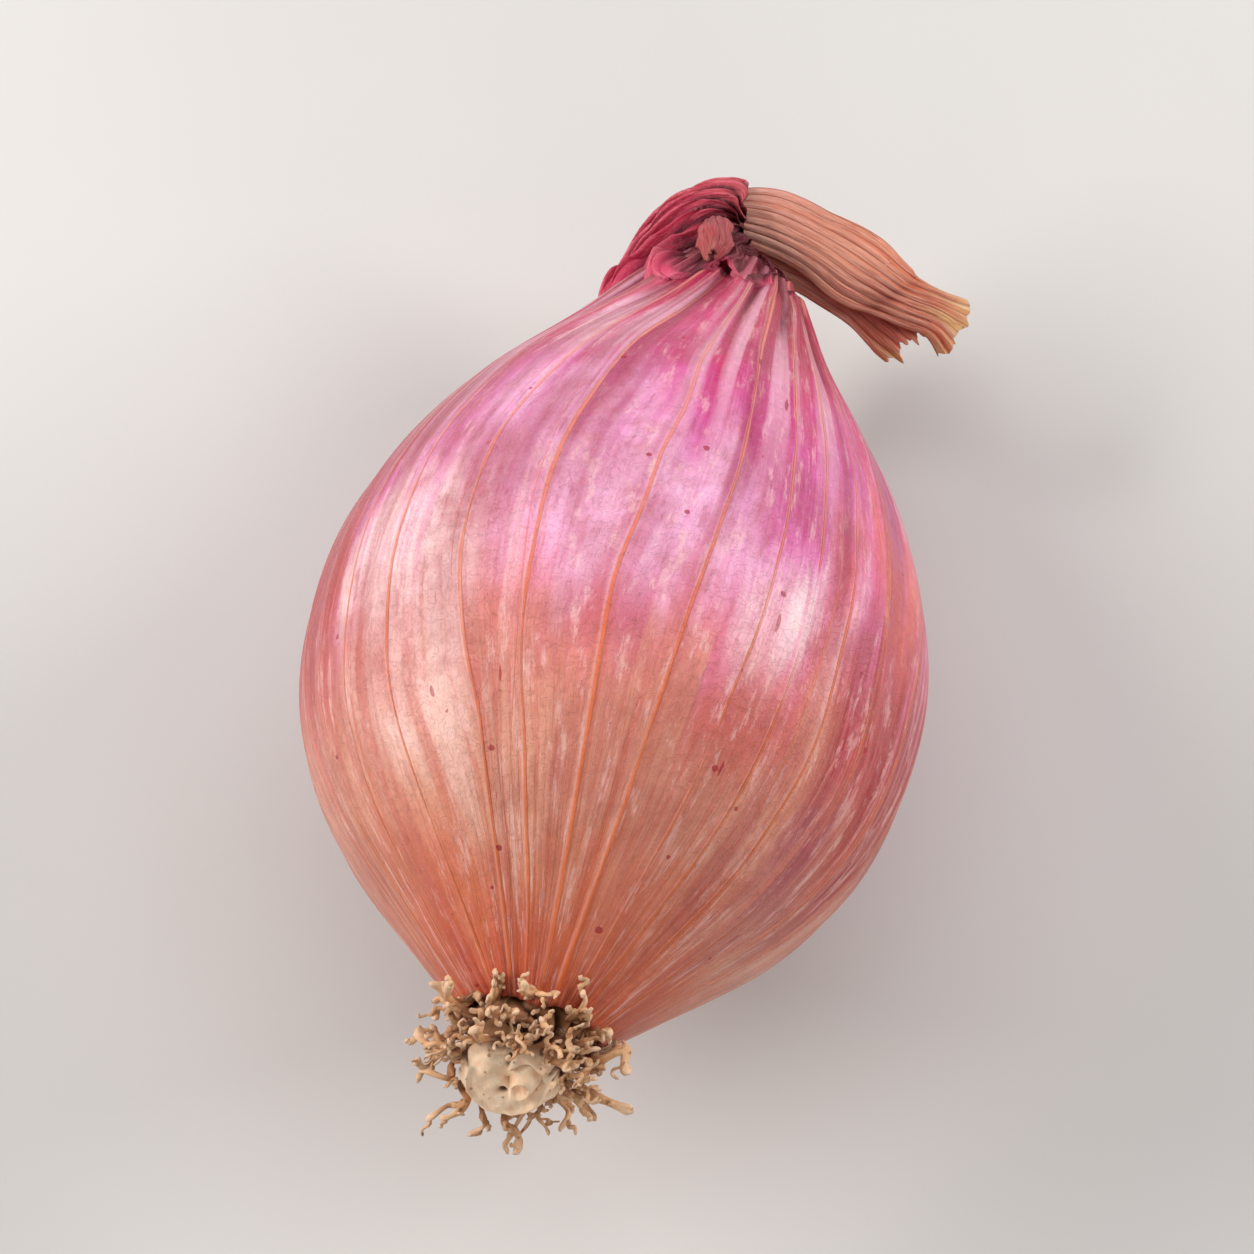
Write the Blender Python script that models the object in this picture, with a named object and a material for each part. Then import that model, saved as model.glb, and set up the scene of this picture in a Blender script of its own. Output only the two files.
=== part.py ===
"""A pink shallot lying on its side. Blender 4.5, metres, +Z up.

The bulb's long axis runs along Y, with the roots towards -Y and the withered neck towards +Y. The
shallot rests on a small flat spot on its belly, which lies on Z = 0 around the origin.
Everything is modelled along a straight axis, standing in for the bulb's own: "station" is the
distance along that axis from the rim round the roots. An empty then lays the axis down.
"""

import math

import bmesh
import bpy
from mathutils import Vector

# The bulb
BULB_LENGTH = 0.0545  # rim round the roots to the end of the drawn-in neck
BULB_WIDTH = 0.038  # across the widest ring
BULB_SHAPE = (  # (share of the length, share of the half width), rounder at the roots
    (0.000, 0.215),
    (0.065, 0.420),
    (0.175, 0.739),
    (0.285, 0.925),
    (0.420, 1.000),
    (0.560, 0.955),
    (0.725, 0.761),
    (0.890, 0.452),
    (1.000, 0.280),
)
BULB_RINGS = 30
BULB_SIDES = 72
SIDE_BOW = 0.00045  # how far the middle line bows to the left of straight
FLATTENING = 0.012  # the bulb is this share wider than round, and this share lower
SHOULDER = 0.010  # three broad swellings, as a share of the radius
NECK_PLEATS = 12
PLEAT_DEPTH = 0.07  # share of the radius at the end of the neck
PLEATS_FROM = 0.72  # share of the length where the pleats begin

# The hollow in the root end, where the root plate and the roots sit
RECESS_RADIUS = 0.0039
RECESS_DEPTH = 0.0012
GAP = 0.0003  # between neighbouring pieces

# How it lies
BELLY_SHARE = 0.515  # share of the length that lies lowest
FLAT_DEPTH = 0.00045  # how much the belly is flattened

# The root plate, from its foot in the recess to its knobbly head
PLATE_RADIUS = 0.0020
PLATE_HEAD_RADIUS = 0.0026
PLATE_HEIGHT = 0.0048
PLATE_SIDES = 28

# The roots, ring by ring: how many, how far their feet lie below the foot of the plate and from the
# axis, how far they splay and reach, and how thick they are
ROOT_RINGS = (
    (14, 0.0000, 0.0029, 0.0038, 0.0024, 0.00066),
    (14, 0.0015, 0.0027, 0.0036, 0.0034, 0.00060),
    (14, 0.0031, 0.0033, 0.0014, 0.0030, 0.00056),
)
ROOT_POINTS = 9
ROOT_TIP = 0.55  # share of its thickness left at a root's tip
ROOT_WAVE = 0.05  # radians that a root waves sideways round the axis

# The withered leaf bases above the neck: (sideways, station beyond the neck, up) along the middle,
# then half the width and half the depth there
KNOT = (
    ((0.0000, 0.0003, 0.0000), 0.0050, 0.0049),
    ((0.0000, 0.0014, 0.0000), 0.0047, 0.0046),
    ((0.0002, 0.0032, 0.0002), 0.0034, 0.0036),
    ((0.0018, 0.0050, 0.0005), 0.0022, 0.0027),
    ((0.0048, 0.0050, 0.0001), 0.0019, 0.0013),
)
LEAF = (
    ((0.0053, 0.0050, 0.0001), 0.0019, 0.00050),
    ((0.0085, 0.0047, -0.0004), 0.0023, 0.00040),
    ((0.0118, 0.0042, -0.0014), 0.0026, 0.00035),
    ((0.0142, 0.0038, -0.0025), 0.0021, 0.00030),
    ((0.0168, 0.0032, -0.0038), 0.0023, 0.00025),
)
TORN_LEAF = (
    ((0.0056, 0.0030, -0.0022), 0.0009, 0.00030),
    ((0.0084, 0.0027, -0.0029), 0.0013, 0.00035),
    ((0.0112, 0.0019, -0.0039), 0.0019, 0.00035),
    ((0.0142, 0.0004, -0.0055), 0.0016, 0.00025),
)
LEAF_FACES = Vector((0.0, -0.5, 0.866))  # the broad side of the leaves looks up and to the roots
FLAKE_WIDTH = 0.0030
FLAKE_THICKNESS = 0.0005
FLAKE_FROM, FLAKE_TO = 0.965, 1.035  # shares of the bulb's length, from its tip to its foot
FLAKE_LIFT = 0.0012  # how far its tip curls away from the neck


def clear_scene():
    for thing in list(bpy.data.objects):
        bpy.data.objects.remove(thing, do_unlink=True)


def material(name, colour, roughness):
    made = bpy.data.materials.new(name)
    made.use_nodes = True
    shader = made.node_tree.nodes["Principled BSDF"]
    shader.inputs["Base Color"].default_value = (*colour, 1.0)
    shader.inputs["Roughness"].default_value = roughness
    shader.inputs["Metallic"].default_value = 0.0
    return made


def through(knots, place):
    """The smooth curve through (place, value) pairs, read at one place: cubic pieces whose slope at
    each pair is that of the line between its two neighbours."""
    last = len(knots) - 1
    piece = 0
    while piece < last - 1 and place > knots[piece + 1][0]:
        piece += 1

    def slope(at):
        before, after = max(at - 1, 0), min(at + 1, last)
        return (knots[after][1] - knots[before][1]) / (knots[after][0] - knots[before][0])

    (start, low), (end, high) = knots[piece], knots[piece + 1]
    span = end - start
    t = (place - start) / span
    return (
        low * (2 * t**3 - 3 * t**2 + 1)
        + high * (3 * t**2 - 2 * t**3)
        + slope(piece) * span * (t**3 - 2 * t**2 + t)
        + slope(piece + 1) * span * (t**3 - t**2)
    )


def bulb_radius(share):
    return through(BULB_SHAPE, share) * BULB_WIDTH / 2


def gathered(share):
    """How tightly the skin is drawn into pleats: 0 where they begin, 1 at the end of the neck."""
    return max(0.0, (share - PLEATS_FROM) / (1 - PLEATS_FROM)) ** 2


def bow(station):
    """How far the middle of the bulb lies to the side at a station."""
    return -SIDE_BOW * math.sin(math.pi * station / BULB_LENGTH)


def droop():
    """The angle that lays the belly's lowest ring level: the neck dips by this much."""
    step = 0.01
    rise = bulb_radius(BELLY_SHARE + step) - bulb_radius(BELLY_SHARE - step)
    return math.atan(-rise / (2 * step * BULB_LENGTH))


def lying_axis():
    """The empty that carries every piece: its Y is the bulb's axis, and its origin is in the middle
    of the rim round the roots."""
    angle = droop()
    station = BELLY_SHARE * BULB_LENGTH
    radius = bulb_radius(BELLY_SHARE) * (1 - FLATTENING)
    empty = bpy.data.objects.new("lying_axis", None)
    empty.empty_display_size = 0.01
    empty.location = (
        -bow(station),
        radius * math.sin(angle) - station * math.cos(angle),
        radius * math.cos(angle) + station * math.sin(angle) - FLAT_DEPTH,
    )
    empty.rotation_euler = (-angle, 0.0, 0.0)
    bpy.context.scene.collection.objects.link(empty)
    return empty


def add(name, data, surface, parent):
    """Adds the mesh or curve to the scene as one piece of the shallot."""
    piece = bpy.data.objects.new(name, data)
    data.materials.append(surface)
    bpy.context.scene.collection.objects.link(piece)
    piece.parent = parent
    return piece


def mesh_from(name, shape):
    bmesh.ops.recalc_face_normals(shape, faces=shape.faces)
    data = bpy.data.meshes.new(name)
    shape.to_mesh(data)
    shape.free()
    data.shade_smooth()
    data.set_sharp_from_angle(angle=math.radians(50))
    return data


def turned(outline, sides):
    """Spins a half outline of (radius, station) points round the axis. Its ends lie on the axis."""
    shape = bmesh.new()
    corners = [shape.verts.new((radius, station, 0.0)) for radius, station in outline]
    edges = [shape.edges.new(pair) for pair in zip(corners, corners[1:])]
    bmesh.ops.spin(
        shape,
        geom=corners + edges,
        cent=(0, 0, 0),
        axis=(0, 1, 0),
        dvec=(0, 0, 0),
        angle=math.tau,
        steps=sides,
    )
    bmesh.ops.remove_doubles(shape, verts=shape.verts, dist=1e-6)
    return shape


def floor_cutter():
    """A block under the floor, whose top shaves the belly flat."""
    shape = bmesh.new()
    bmesh.ops.create_cube(shape, size=2 * BULB_WIDTH)
    bmesh.ops.translate(shape, verts=shape.verts, vec=(0, 0, -BULB_WIDTH))
    block = bpy.data.objects.new("floor_cutter", mesh_from("floor_cutter", shape))
    block.hide_render = True
    block.display_type = "WIRE"
    bpy.context.scene.collection.objects.link(block)
    return block


def bulb(surface, parent):
    """The swollen bulb in its skin, hollowed where the roots sit and drawn in at the neck."""
    outline = [(0.0, RECESS_DEPTH), (RECESS_RADIUS - GAP, RECESS_DEPTH), (RECESS_RADIUS, 0.0)]
    outline += [
        (bulb_radius(ring / BULB_RINGS), BULB_LENGTH * ring / BULB_RINGS)
        for ring in range(BULB_RINGS + 1)
    ]
    outline.append((0.0, BULB_LENGTH))
    shape = turned(outline, BULB_SIDES)
    for corner in shape.verts:
        angle = math.atan2(corner.co.z, corner.co.x)
        station = corner.co.y
        share = station / BULB_LENGTH
        bulge = math.sin(math.pi * share)
        swell = 1 + SHOULDER * bulge * math.sin(3 * angle)
        swell += PLEAT_DEPTH * gathered(share) * math.cos(NECK_PLEATS * angle)
        corner.co.x = corner.co.x * swell * (1 + FLATTENING * bulge) + bow(station)
        corner.co.z *= swell * (1 - FLATTENING * bulge)
    piece = add("bulb", mesh_from("bulb", shape), surface, parent)
    shave = piece.modifiers.new("flat_spot", "BOOLEAN")
    shave.operation = "DIFFERENCE"
    shave.solver = "EXACT"
    shave.object = floor_cutter()
    return piece


def root_plate(surface, parent):
    """The short woody stem that the roots grow from, with a knobbly head."""
    foot = RECESS_DEPTH - GAP
    outline = (
        (0.0, foot),
        (0.94 * PLATE_RADIUS, foot),
        (PLATE_RADIUS, foot - 0.10 * PLATE_HEIGHT),
        (1.08 * PLATE_RADIUS, foot - 0.45 * PLATE_HEIGHT),
        (PLATE_HEAD_RADIUS, foot - 0.74 * PLATE_HEIGHT),
        (0.92 * PLATE_HEAD_RADIUS, foot - 0.90 * PLATE_HEIGHT),
        (0.55 * PLATE_HEAD_RADIUS, foot - PLATE_HEIGHT),
        (0.0, foot - 0.97 * PLATE_HEIGHT),
    )
    shape = turned(outline, PLATE_SIDES)
    for corner in shape.verts:
        angle = math.atan2(corner.co.z, corner.co.x)
        head = min(1.0, max(0.0, (foot - corner.co.y) / PLATE_HEIGHT - 0.5))
        swell = 1 + 0.14 * head * math.sin(5 * angle + 1.0) + 0.08 * head * math.sin(3 * angle)
        corner.co.x *= swell
        corner.co.z *= swell
    return add("root_plate", mesh_from("root_plate", shape), surface, parent)


def root_line(angle, foot, base_radius, splay, reach, phase):
    """One root's middle line: forwards from its foot and splaying more and more, with a wave."""
    points = []
    for step in range(ROOT_POINTS):
        t = step / (ROOT_POINTS - 1)
        out = base_radius + splay * t**1.5
        station = foot - reach * math.sin(0.5 * math.pi * t)
        turn = angle + ROOT_WAVE * t * math.sin(math.tau * t + phase)
        points.append(Vector((out * math.cos(turn), station, out * math.sin(turn))))
    return points


def root(name, line, thickness, surface, parent):
    """A tube along the line that thins towards its tip."""
    data = bpy.data.curves.new(name, "CURVE")
    data.dimensions = "3D"
    data.bevel_depth = thickness / 2
    data.bevel_resolution = 1
    data.use_fill_caps = True
    spline = data.splines.new("POLY")
    spline.points.add(len(line) - 1)
    for place, (point, middle) in enumerate(zip(spline.points, line)):
        point.co = (*middle, 1.0)
        point.radius = 1 - (1 - ROOT_TIP) * place / (len(line) - 1)
    return add(name, data, surface, parent)


def roots(surface, parent):
    """Every ring of roots. Lengths differ from root to root by a fixed wave round the rings."""
    number = 0
    for ring, (count, lower, base_radius, splay, reach, thickness) in enumerate(ROOT_RINGS):
        foot = RECESS_DEPTH - GAP - lower
        for place in range(count):
            number += 1
            angle = math.tau * (place + ring / 2) / count
            vary = math.sin(2.4 * number)
            line = root_line(
                angle, foot, base_radius, splay * (1 + 0.2 * vary), reach * (1 - 0.2 * vary), number
            )
            root(f"root_{number:02d}", line, thickness, surface, parent)


def swept(sections, steps, sides, faces, ruffle=0.0):
    """Ovals carried along a smooth line. Each section is (middle, half width, half depth), and the
    oval's depth points the way that faces says. ruffle waves the oval's edge."""
    keys = range(len(sections))

    def smooth(values, place):
        return through(list(zip(keys, values)), place)

    def middle(place):
        return Vector([smooth([s[0][axis] for s in sections], place) for axis in range(3)])

    shape = bmesh.new()
    rings = []
    for step in range(steps + 1):
        place = (len(sections) - 1) * step / steps
        along = (middle(place + 0.01) - middle(place - 0.01)).normalized()
        across = along.cross(faces).normalized()
        deep = across.cross(along)
        width = smooth([s[1] for s in sections], place)
        depth = smooth([s[2] for s in sections], place)
        ring = []
        for side in range(sides):
            angle = math.tau * side / sides
            size = 1 + ruffle * math.cos(sides // 2 * angle)
            offset = across * width * math.cos(angle) + deep * depth * math.sin(angle)
            ring.append(shape.verts.new(middle(place) + size * offset))
        rings.append(ring)
    for low, high in zip(rings, rings[1:]):
        for side in range(sides):
            after = (side + 1) % sides
            shape.faces.new((low[side], low[after], high[after], high[side]))
    shape.faces.new(rings[0])
    shape.faces.new(rings[-1])
    return shape


def beyond_neck(sections):
    """The sections with their stations counted from the rim round the roots."""
    return [
        ((side, BULB_LENGTH + station, up), width, depth)
        for (side, station, up), width, depth in sections
    ]


def knot(surface, parent):
    """The withered leaf bases, gathered, twisted and folded over to one side."""
    shape = swept(beyond_neck(KNOT), 14, 24, LEAF_FACES, ruffle=0.05)
    return add("neck_knot", mesh_from("neck_knot", shape), surface, parent)


def leaf(name, sections, surface, parent):
    """One withered leaf end, a thin strap with a lens-shaped section."""
    shape = swept(beyond_neck(sections), 12, 12, LEAF_FACES)
    return add(name, mesh_from(name, shape), surface, parent)


def flake(surface, parent):
    """A small curled flake of dry skin that hangs from the knot over the neck."""
    sections = []
    stops = 5
    for stop in range(stops):
        t = stop / (stops - 1)
        share = FLAKE_FROM + (FLAKE_TO - FLAKE_FROM) * t
        neck = min(share, 1.0)
        radius = bulb_radius(neck) * (1 + PLEAT_DEPTH * gathered(neck))
        up = radius + GAP + FLAKE_THICKNESS / 2 + FLAKE_LIFT * (1 - t) ** 2
        width = FLAKE_WIDTH / 2 * (0.55 + 0.45 * math.sin(math.pi * t))
        sections.append(((-0.0008, share * BULB_LENGTH, up), width, FLAKE_THICKNESS / 2))
    shape = swept(sections, 8, 10, Vector((0.0, 0.0, 1.0)))
    return add("skin_flake", mesh_from("skin_flake", shape), surface, parent)


def build():
    clear_scene()
    skin = material("pink_skin", (0.62, 0.20, 0.25), 0.34)
    crimson = material("crimson_neck", (0.36, 0.06, 0.10), 0.60)
    straw = material("withered_leaf", (0.62, 0.30, 0.18), 0.62)
    cork = material("pale_plate", (0.66, 0.52, 0.34), 0.85)
    root_brown = material("dry_root", (0.52, 0.35, 0.17), 0.80)
    axis = lying_axis()
    bulb(skin, axis)
    knot(crimson, axis)
    leaf("leaf_strap", LEAF, straw, axis)
    leaf("leaf_torn", TORN_LEAF, straw, axis)
    flake(straw, axis)
    root_plate(cork, axis)
    roots(root_brown, axis)


build()
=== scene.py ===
# %% [markdown]
# # A pink shallot
# One whole shallot lies on its side on a pale table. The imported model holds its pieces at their
# real size: the bulb, the withered neck and leaf ends, the root plate and forty-two rootlets. This
# script gives each of them the surface of the real thing. Every shape is a formula on a grid of
# numbers, and every finish is made of shader nodes, so nothing has to be drawn by hand.
# Each step comes as two cells: one that explains, and one that builds and prints what it made.

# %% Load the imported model
import math

import bmesh
import bpy
import numpy as np
from mathutils import Matrix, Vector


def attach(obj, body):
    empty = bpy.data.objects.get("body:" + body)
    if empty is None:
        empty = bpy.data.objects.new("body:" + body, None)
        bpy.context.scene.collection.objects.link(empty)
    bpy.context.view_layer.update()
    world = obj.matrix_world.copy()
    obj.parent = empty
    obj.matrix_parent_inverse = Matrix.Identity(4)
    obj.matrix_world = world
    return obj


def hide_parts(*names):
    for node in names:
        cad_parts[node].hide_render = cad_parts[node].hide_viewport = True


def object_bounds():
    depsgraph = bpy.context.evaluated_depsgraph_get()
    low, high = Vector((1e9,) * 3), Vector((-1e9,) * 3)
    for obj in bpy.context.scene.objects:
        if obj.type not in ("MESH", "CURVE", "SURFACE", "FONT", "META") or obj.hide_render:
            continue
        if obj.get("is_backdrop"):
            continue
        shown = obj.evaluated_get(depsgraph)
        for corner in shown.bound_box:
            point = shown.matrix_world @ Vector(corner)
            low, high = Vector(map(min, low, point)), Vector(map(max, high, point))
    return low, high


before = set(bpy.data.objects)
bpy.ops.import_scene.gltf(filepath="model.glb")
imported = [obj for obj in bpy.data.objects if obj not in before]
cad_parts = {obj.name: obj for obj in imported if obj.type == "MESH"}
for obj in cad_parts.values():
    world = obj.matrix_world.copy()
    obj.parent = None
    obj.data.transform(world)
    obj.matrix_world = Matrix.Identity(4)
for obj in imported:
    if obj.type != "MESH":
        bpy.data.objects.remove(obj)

cad_low, cad_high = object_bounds()
print("the model has", len(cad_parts), "nodes")
print("its box, mm:", [round(1000 * (high - low), 1) for low, high in zip(cad_low, cad_high)])

# %% [markdown]
# ## Bulb coordinates
# A bulb is easiest to describe along its own axis, from the roots to the neck. So a point here is
# (side, station, up): station is the distance along the axis from the rim round the roots, and
# side and up are measured away from the axis. The finished shallot lies down, with its neck
# dipping a little, and one function takes every point from the upright bulb to the table.
#
# The outline is a smooth curve through a few (share of the length, share of the half width)
# pairs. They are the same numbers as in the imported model, so the new skin fits the old solid.

# %% The outline and how the bulb lies
TAU = 2 * math.pi
MM = 0.001
BULB_LENGTH = 54.5 * MM
BULB_WIDTH = 38 * MM
BULB_SHAPE = (
    (0.000, 0.215),
    (0.065, 0.420),
    (0.175, 0.739),
    (0.285, 0.925),
    (0.420, 1.000),
    (0.560, 0.955),
    (0.725, 0.761),
    (0.890, 0.452),
    (1.000, 0.280),
)
BELLY_SHARE = 0.515  # where along the bulb it touches the table
FLAT_DEPTH = 0.45 * MM  # how much the belly is flattened there
SIDE_BOW = 0.45 * MM  # how far the middle line bends to the side
FLATTENING = 0.012  # how much wider than deep the bulb is
SHOULDER = 0.010  # how far three broad swellings stand out, as a share of the radius


def through(knots, place):
    """The smooth curve through rows of (place, value): a cubic between each two rows, whose slope
    at a row is that of the straight line between the rows before and after it."""
    x, y = np.asarray(knots, float).T
    place = np.asarray(place, float)
    before = np.clip(np.arange(len(x)) - 1, 0, None)
    after = np.clip(np.arange(len(x)) + 1, None, len(x) - 1)
    slope = (y[after] - y[before]) / (x[after] - x[before])
    piece = np.clip(np.searchsorted(x, place) - 1, 0, len(x) - 2)
    span = x[piece + 1] - x[piece]
    t = (place - x[piece]) / span
    ends = y[piece] * (2 * t**3 - 3 * t**2 + 1) + y[piece + 1] * (3 * t**2 - 2 * t**3)
    bends = slope[piece] * (t**3 - 2 * t**2 + t) + slope[piece + 1] * (t**3 - t**2)
    return ends + span * bends


def bulb_radius(share):
    """Half the bulb's width at a share of its length."""
    return through(BULB_SHAPE, share) * BULB_WIDTH / 2


def bow(share):
    """How far the bulb's middle line lies to the side: half a wave from roots to neck."""
    return -SIDE_BOW * np.sin(math.pi * share)


belly_slope = (bulb_radius(BELLY_SHARE + 0.01) - bulb_radius(BELLY_SHARE - 0.01)) / 0.02
DROOP = math.atan(-belly_slope / BULB_LENGTH)
BELLY_RADIUS = bulb_radius(BELLY_SHARE) * (1 - FLATTENING)
BELLY_STATION = BELLY_SHARE * BULB_LENGTH


def lie_down(side, station, up):
    """Turns bulb coordinates about the side axis until the belly is level, and sets it down on the
    table with its flat spot round the origin."""
    along, above = station - BELLY_STATION, up
    y = along * math.cos(DROOP) + (above + BELLY_RADIUS) * math.sin(DROOP)
    z = -along * math.sin(DROOP) + above * math.cos(DROOP) + BELLY_RADIUS * math.cos(DROOP)
    return np.stack(np.broadcast_arrays(side - bow(BELLY_SHARE), y, z - FLAT_DEPTH), -1)


print(f"the neck dips by {math.degrees(DROOP):.1f} degrees")

# %% [markdown]
# ## From arrays to meshes
# Two kinds of surface are enough for the whole shallot. A *solid* is a stack of rings, each joined
# to the next and closed at both ends by a fan of triangles. A *sheet* is an open grid that the
# Solidify modifier makes as thick as dry skin. Both are filled with foreach_set, which copies
# whole arrays, so even two hundred thousand triangles take a moment.
#
# Two more tools shape the arrays. `ripples` adds up sine waves of random direction: it looks like
# noise, but it closes on itself round the bulb. `step` is the soft switch from 0 to 1 that shaders
# call smoothstep.

# %% Mesh and field helpers


def fill_mesh(name, points, faces, corners, maps):
    """A mesh from points, faces (lists of point indices, all as long) and the UV at each corner."""
    mesh = bpy.data.meshes.new(name)
    sizes = np.concatenate([np.full(len(block), block.shape[1]) for block in faces])
    index = np.concatenate([block.ravel() for block in faces])
    mesh.vertices.add(len(points))
    mesh.vertices.foreach_set("co", points.astype(np.float32).ravel())
    mesh.loops.add(len(index))
    mesh.loops.foreach_set("vertex_index", index.astype(np.int32))
    mesh.polygons.add(len(sizes))
    mesh.polygons.foreach_set("loop_start", (np.cumsum(sizes) - sizes).astype(np.int32))
    mesh.polygons.foreach_set("use_smooth", np.ones(len(sizes), bool))
    for map_name, grid in maps.items():
        layer = mesh.uv_layers.new(name=map_name)
        layer.data.foreach_set("uv", grid.reshape(-1, 2)[corners].astype(np.float32).ravel())
    mesh.update(calc_edges=True)
    mesh.validate()
    return mesh


def add_field(mesh, name, values):
    """Stores one number, or one vector, at each point of a mesh."""
    values = np.asarray(values, np.float32)
    kind, slot = ("FLOAT_VECTOR", "vector") if values.ndim == 2 else ("FLOAT", "value")
    mesh.attributes.new(name, kind, "POINT").data.foreach_set(slot, values.ravel())


def stack_map(rows, columns):
    """A UV layout that spreads the stack of rings over the whole square, with the seam at both
    sides of it: one column more than the rings have points."""
    v, u = np.meshgrid(np.linspace(0, 1, rows), np.linspace(0, 1, columns + 1), indexing="ij")
    return np.stack([u, v], -1)


def solid(name, rings, fields=None, maps=None, strip=(0, 1)):
    """A closed surface from rings × points × 3. Neighbouring rings are joined by quads, and a fan
    to its middle closes each end. If the volume comes out negative, every face is turned round.
    fields are name: rings × points (× 3) arrays, stored at the points. maps are more UV layouts,
    rings × (points + 1) × 2. strip (2, 6) puts the layout in the third of six upright strips."""
    rows, columns = rings.shape[:2]
    row, column = np.meshgrid(np.arange(rows - 1), np.arange(columns), indexing="ij")
    row, column = row.reshape(-1, 1), column.reshape(-1, 1)
    quad_rows, quad_columns = row + [0, 0, 1, 1], column + [0, 1, 1, 0]
    quads = quad_rows * columns + quad_columns % columns
    turn = np.arange(columns)[:, None]
    middles = rows * columns + np.array([0, 1])
    first = np.hstack([np.full_like(turn, middles[0]), (turn + 1) % columns, turn])
    last = np.hstack([np.full_like(turn, middles[1]), turn, (turn + 1) % columns])
    last[:, 1:] += (rows - 1) * columns
    points = np.concatenate([rings.reshape(-1, 3), rings[[0, -1]].mean(1)])
    wide = columns + 1
    quad_corners = quad_rows * wide + quad_columns
    first_corners = np.hstack([turn, turn + 1, turn])
    last_corners = np.hstack([turn, turn, turn + 1]) + (rows - 1) * wide
    a, b, c = (points[quads[:, k]] for k in (0, 1, 2))
    if np.einsum("ij,ij->", a, np.cross(b, c)) < 0:
        quads, first, last = quads[:, ::-1], first[:, ::-1], last[:, ::-1]
        quad_corners, first_corners = quad_corners[:, ::-1], first_corners[:, ::-1]
        last_corners = last_corners[:, ::-1]
    corners = np.concatenate([c.ravel() for c in (quad_corners, first_corners, last_corners)])
    layout = (stack_map(rows, columns) * (0.98, 1) + (0.01 + strip[0], 0)) / (strip[1], 1)
    layouts = {"OFBake": layout, **(maps or {})}
    mesh = fill_mesh(name, points, [quads, first, last], corners, layouts)
    for field, values in (fields or {}).items():
        flat = np.reshape(values, (rows * columns, -1))
        ends = np.asarray(values)[[0, -1]].mean(1).reshape(2, -1)
        add_field(mesh, field, np.squeeze(np.concatenate([flat, ends])))
    return mesh


def sheet(name, grid, fields=None):
    """An open surface from rows × columns × 3, with a UV map that follows both directions."""
    rows, columns = grid.shape[:2]
    row, column = np.meshgrid(np.arange(rows - 1), np.arange(columns - 1), indexing="ij")
    quads = row.reshape(-1, 1) + [0, 0, 1, 1]
    quads = quads * columns + column.reshape(-1, 1) + [0, 1, 1, 0]
    maps = {"OFBake": stack_map(rows, columns - 1)}
    mesh = fill_mesh(name, grid.reshape(-1, 3), [quads], quads.ravel(), maps)
    for field, values in (fields or {}).items():
        add_field(mesh, field, np.reshape(values, (rows * columns, -1)).squeeze())
    return mesh


def ripples(seed, around, along, rounds, lengths, count=20):
    """A smooth random field: the sum of sine waves of random direction and phase. rounds is the
    most whole turns that a wave makes while around goes once round, lengths the most it makes
    while along goes from 0 to 1. The result is mostly within -1 and 1."""
    draw = np.random.default_rng(seed)
    turns = draw.integers(-rounds, rounds + 1, count)
    waves = draw.uniform(-lengths, lengths, count)
    phases = draw.uniform(0, TAU, count)
    total = sum(np.sin(t * around + TAU * w * along + p) for t, w, p in zip(turns, waves, phases))
    return total / math.sqrt(count)


def step(start, end, value):
    """0 before start, 1 after end, and a smooth S between them."""
    t = np.clip((value - start) / (end - start), 0, 1)
    return t * t * (3 - 2 * t)


def chance(number, seed):
    """A repeatable number from 0 to 1 for each whole number."""
    return 0.5 + 0.5 * np.sin(2.4 * number + seed + 1.9 * np.sin(1.7 * number + 2 * seed))


def add_piece(name, mesh, finish, slot, *nodes):
    """Makes the mesh a piece of the shallot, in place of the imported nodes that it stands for."""
    mesh.materials.append(finish)
    piece = bpy.data.objects.new(name, mesh)
    bpy.context.scene.collection.objects.link(piece)
    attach(piece, "root")
    if nodes:
        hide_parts(*nodes)
    print(f"{name}: {len(mesh.vertices)} points, {len(mesh.polygons)} faces")
    return piece


# %% [markdown]
# ## Writing shaders as sentences
# A material is a web of nodes, and setting each socket by hand hides the idea behind it. This small
# class names the few things that the finishes need: arithmetic, noise, a colour ramp, a soft
# switch and a blend of two colours. Each returns the socket that it makes, so one line reads like a
# sentence. Colours are written as 0-255 numbers, the way a colour picker shows them, and are turned
# into the linear light that Blender works with.

# %% Shader helpers


def paint(red, green, blue):
    """A picked colour in linear light."""
    share = np.array([red, green, blue]) / 255
    linear = np.where(share > 0.04045, ((share + 0.055) / 1.055) ** 2.4, share / 12.92)
    return (*linear.tolist(), 1.0)


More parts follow.
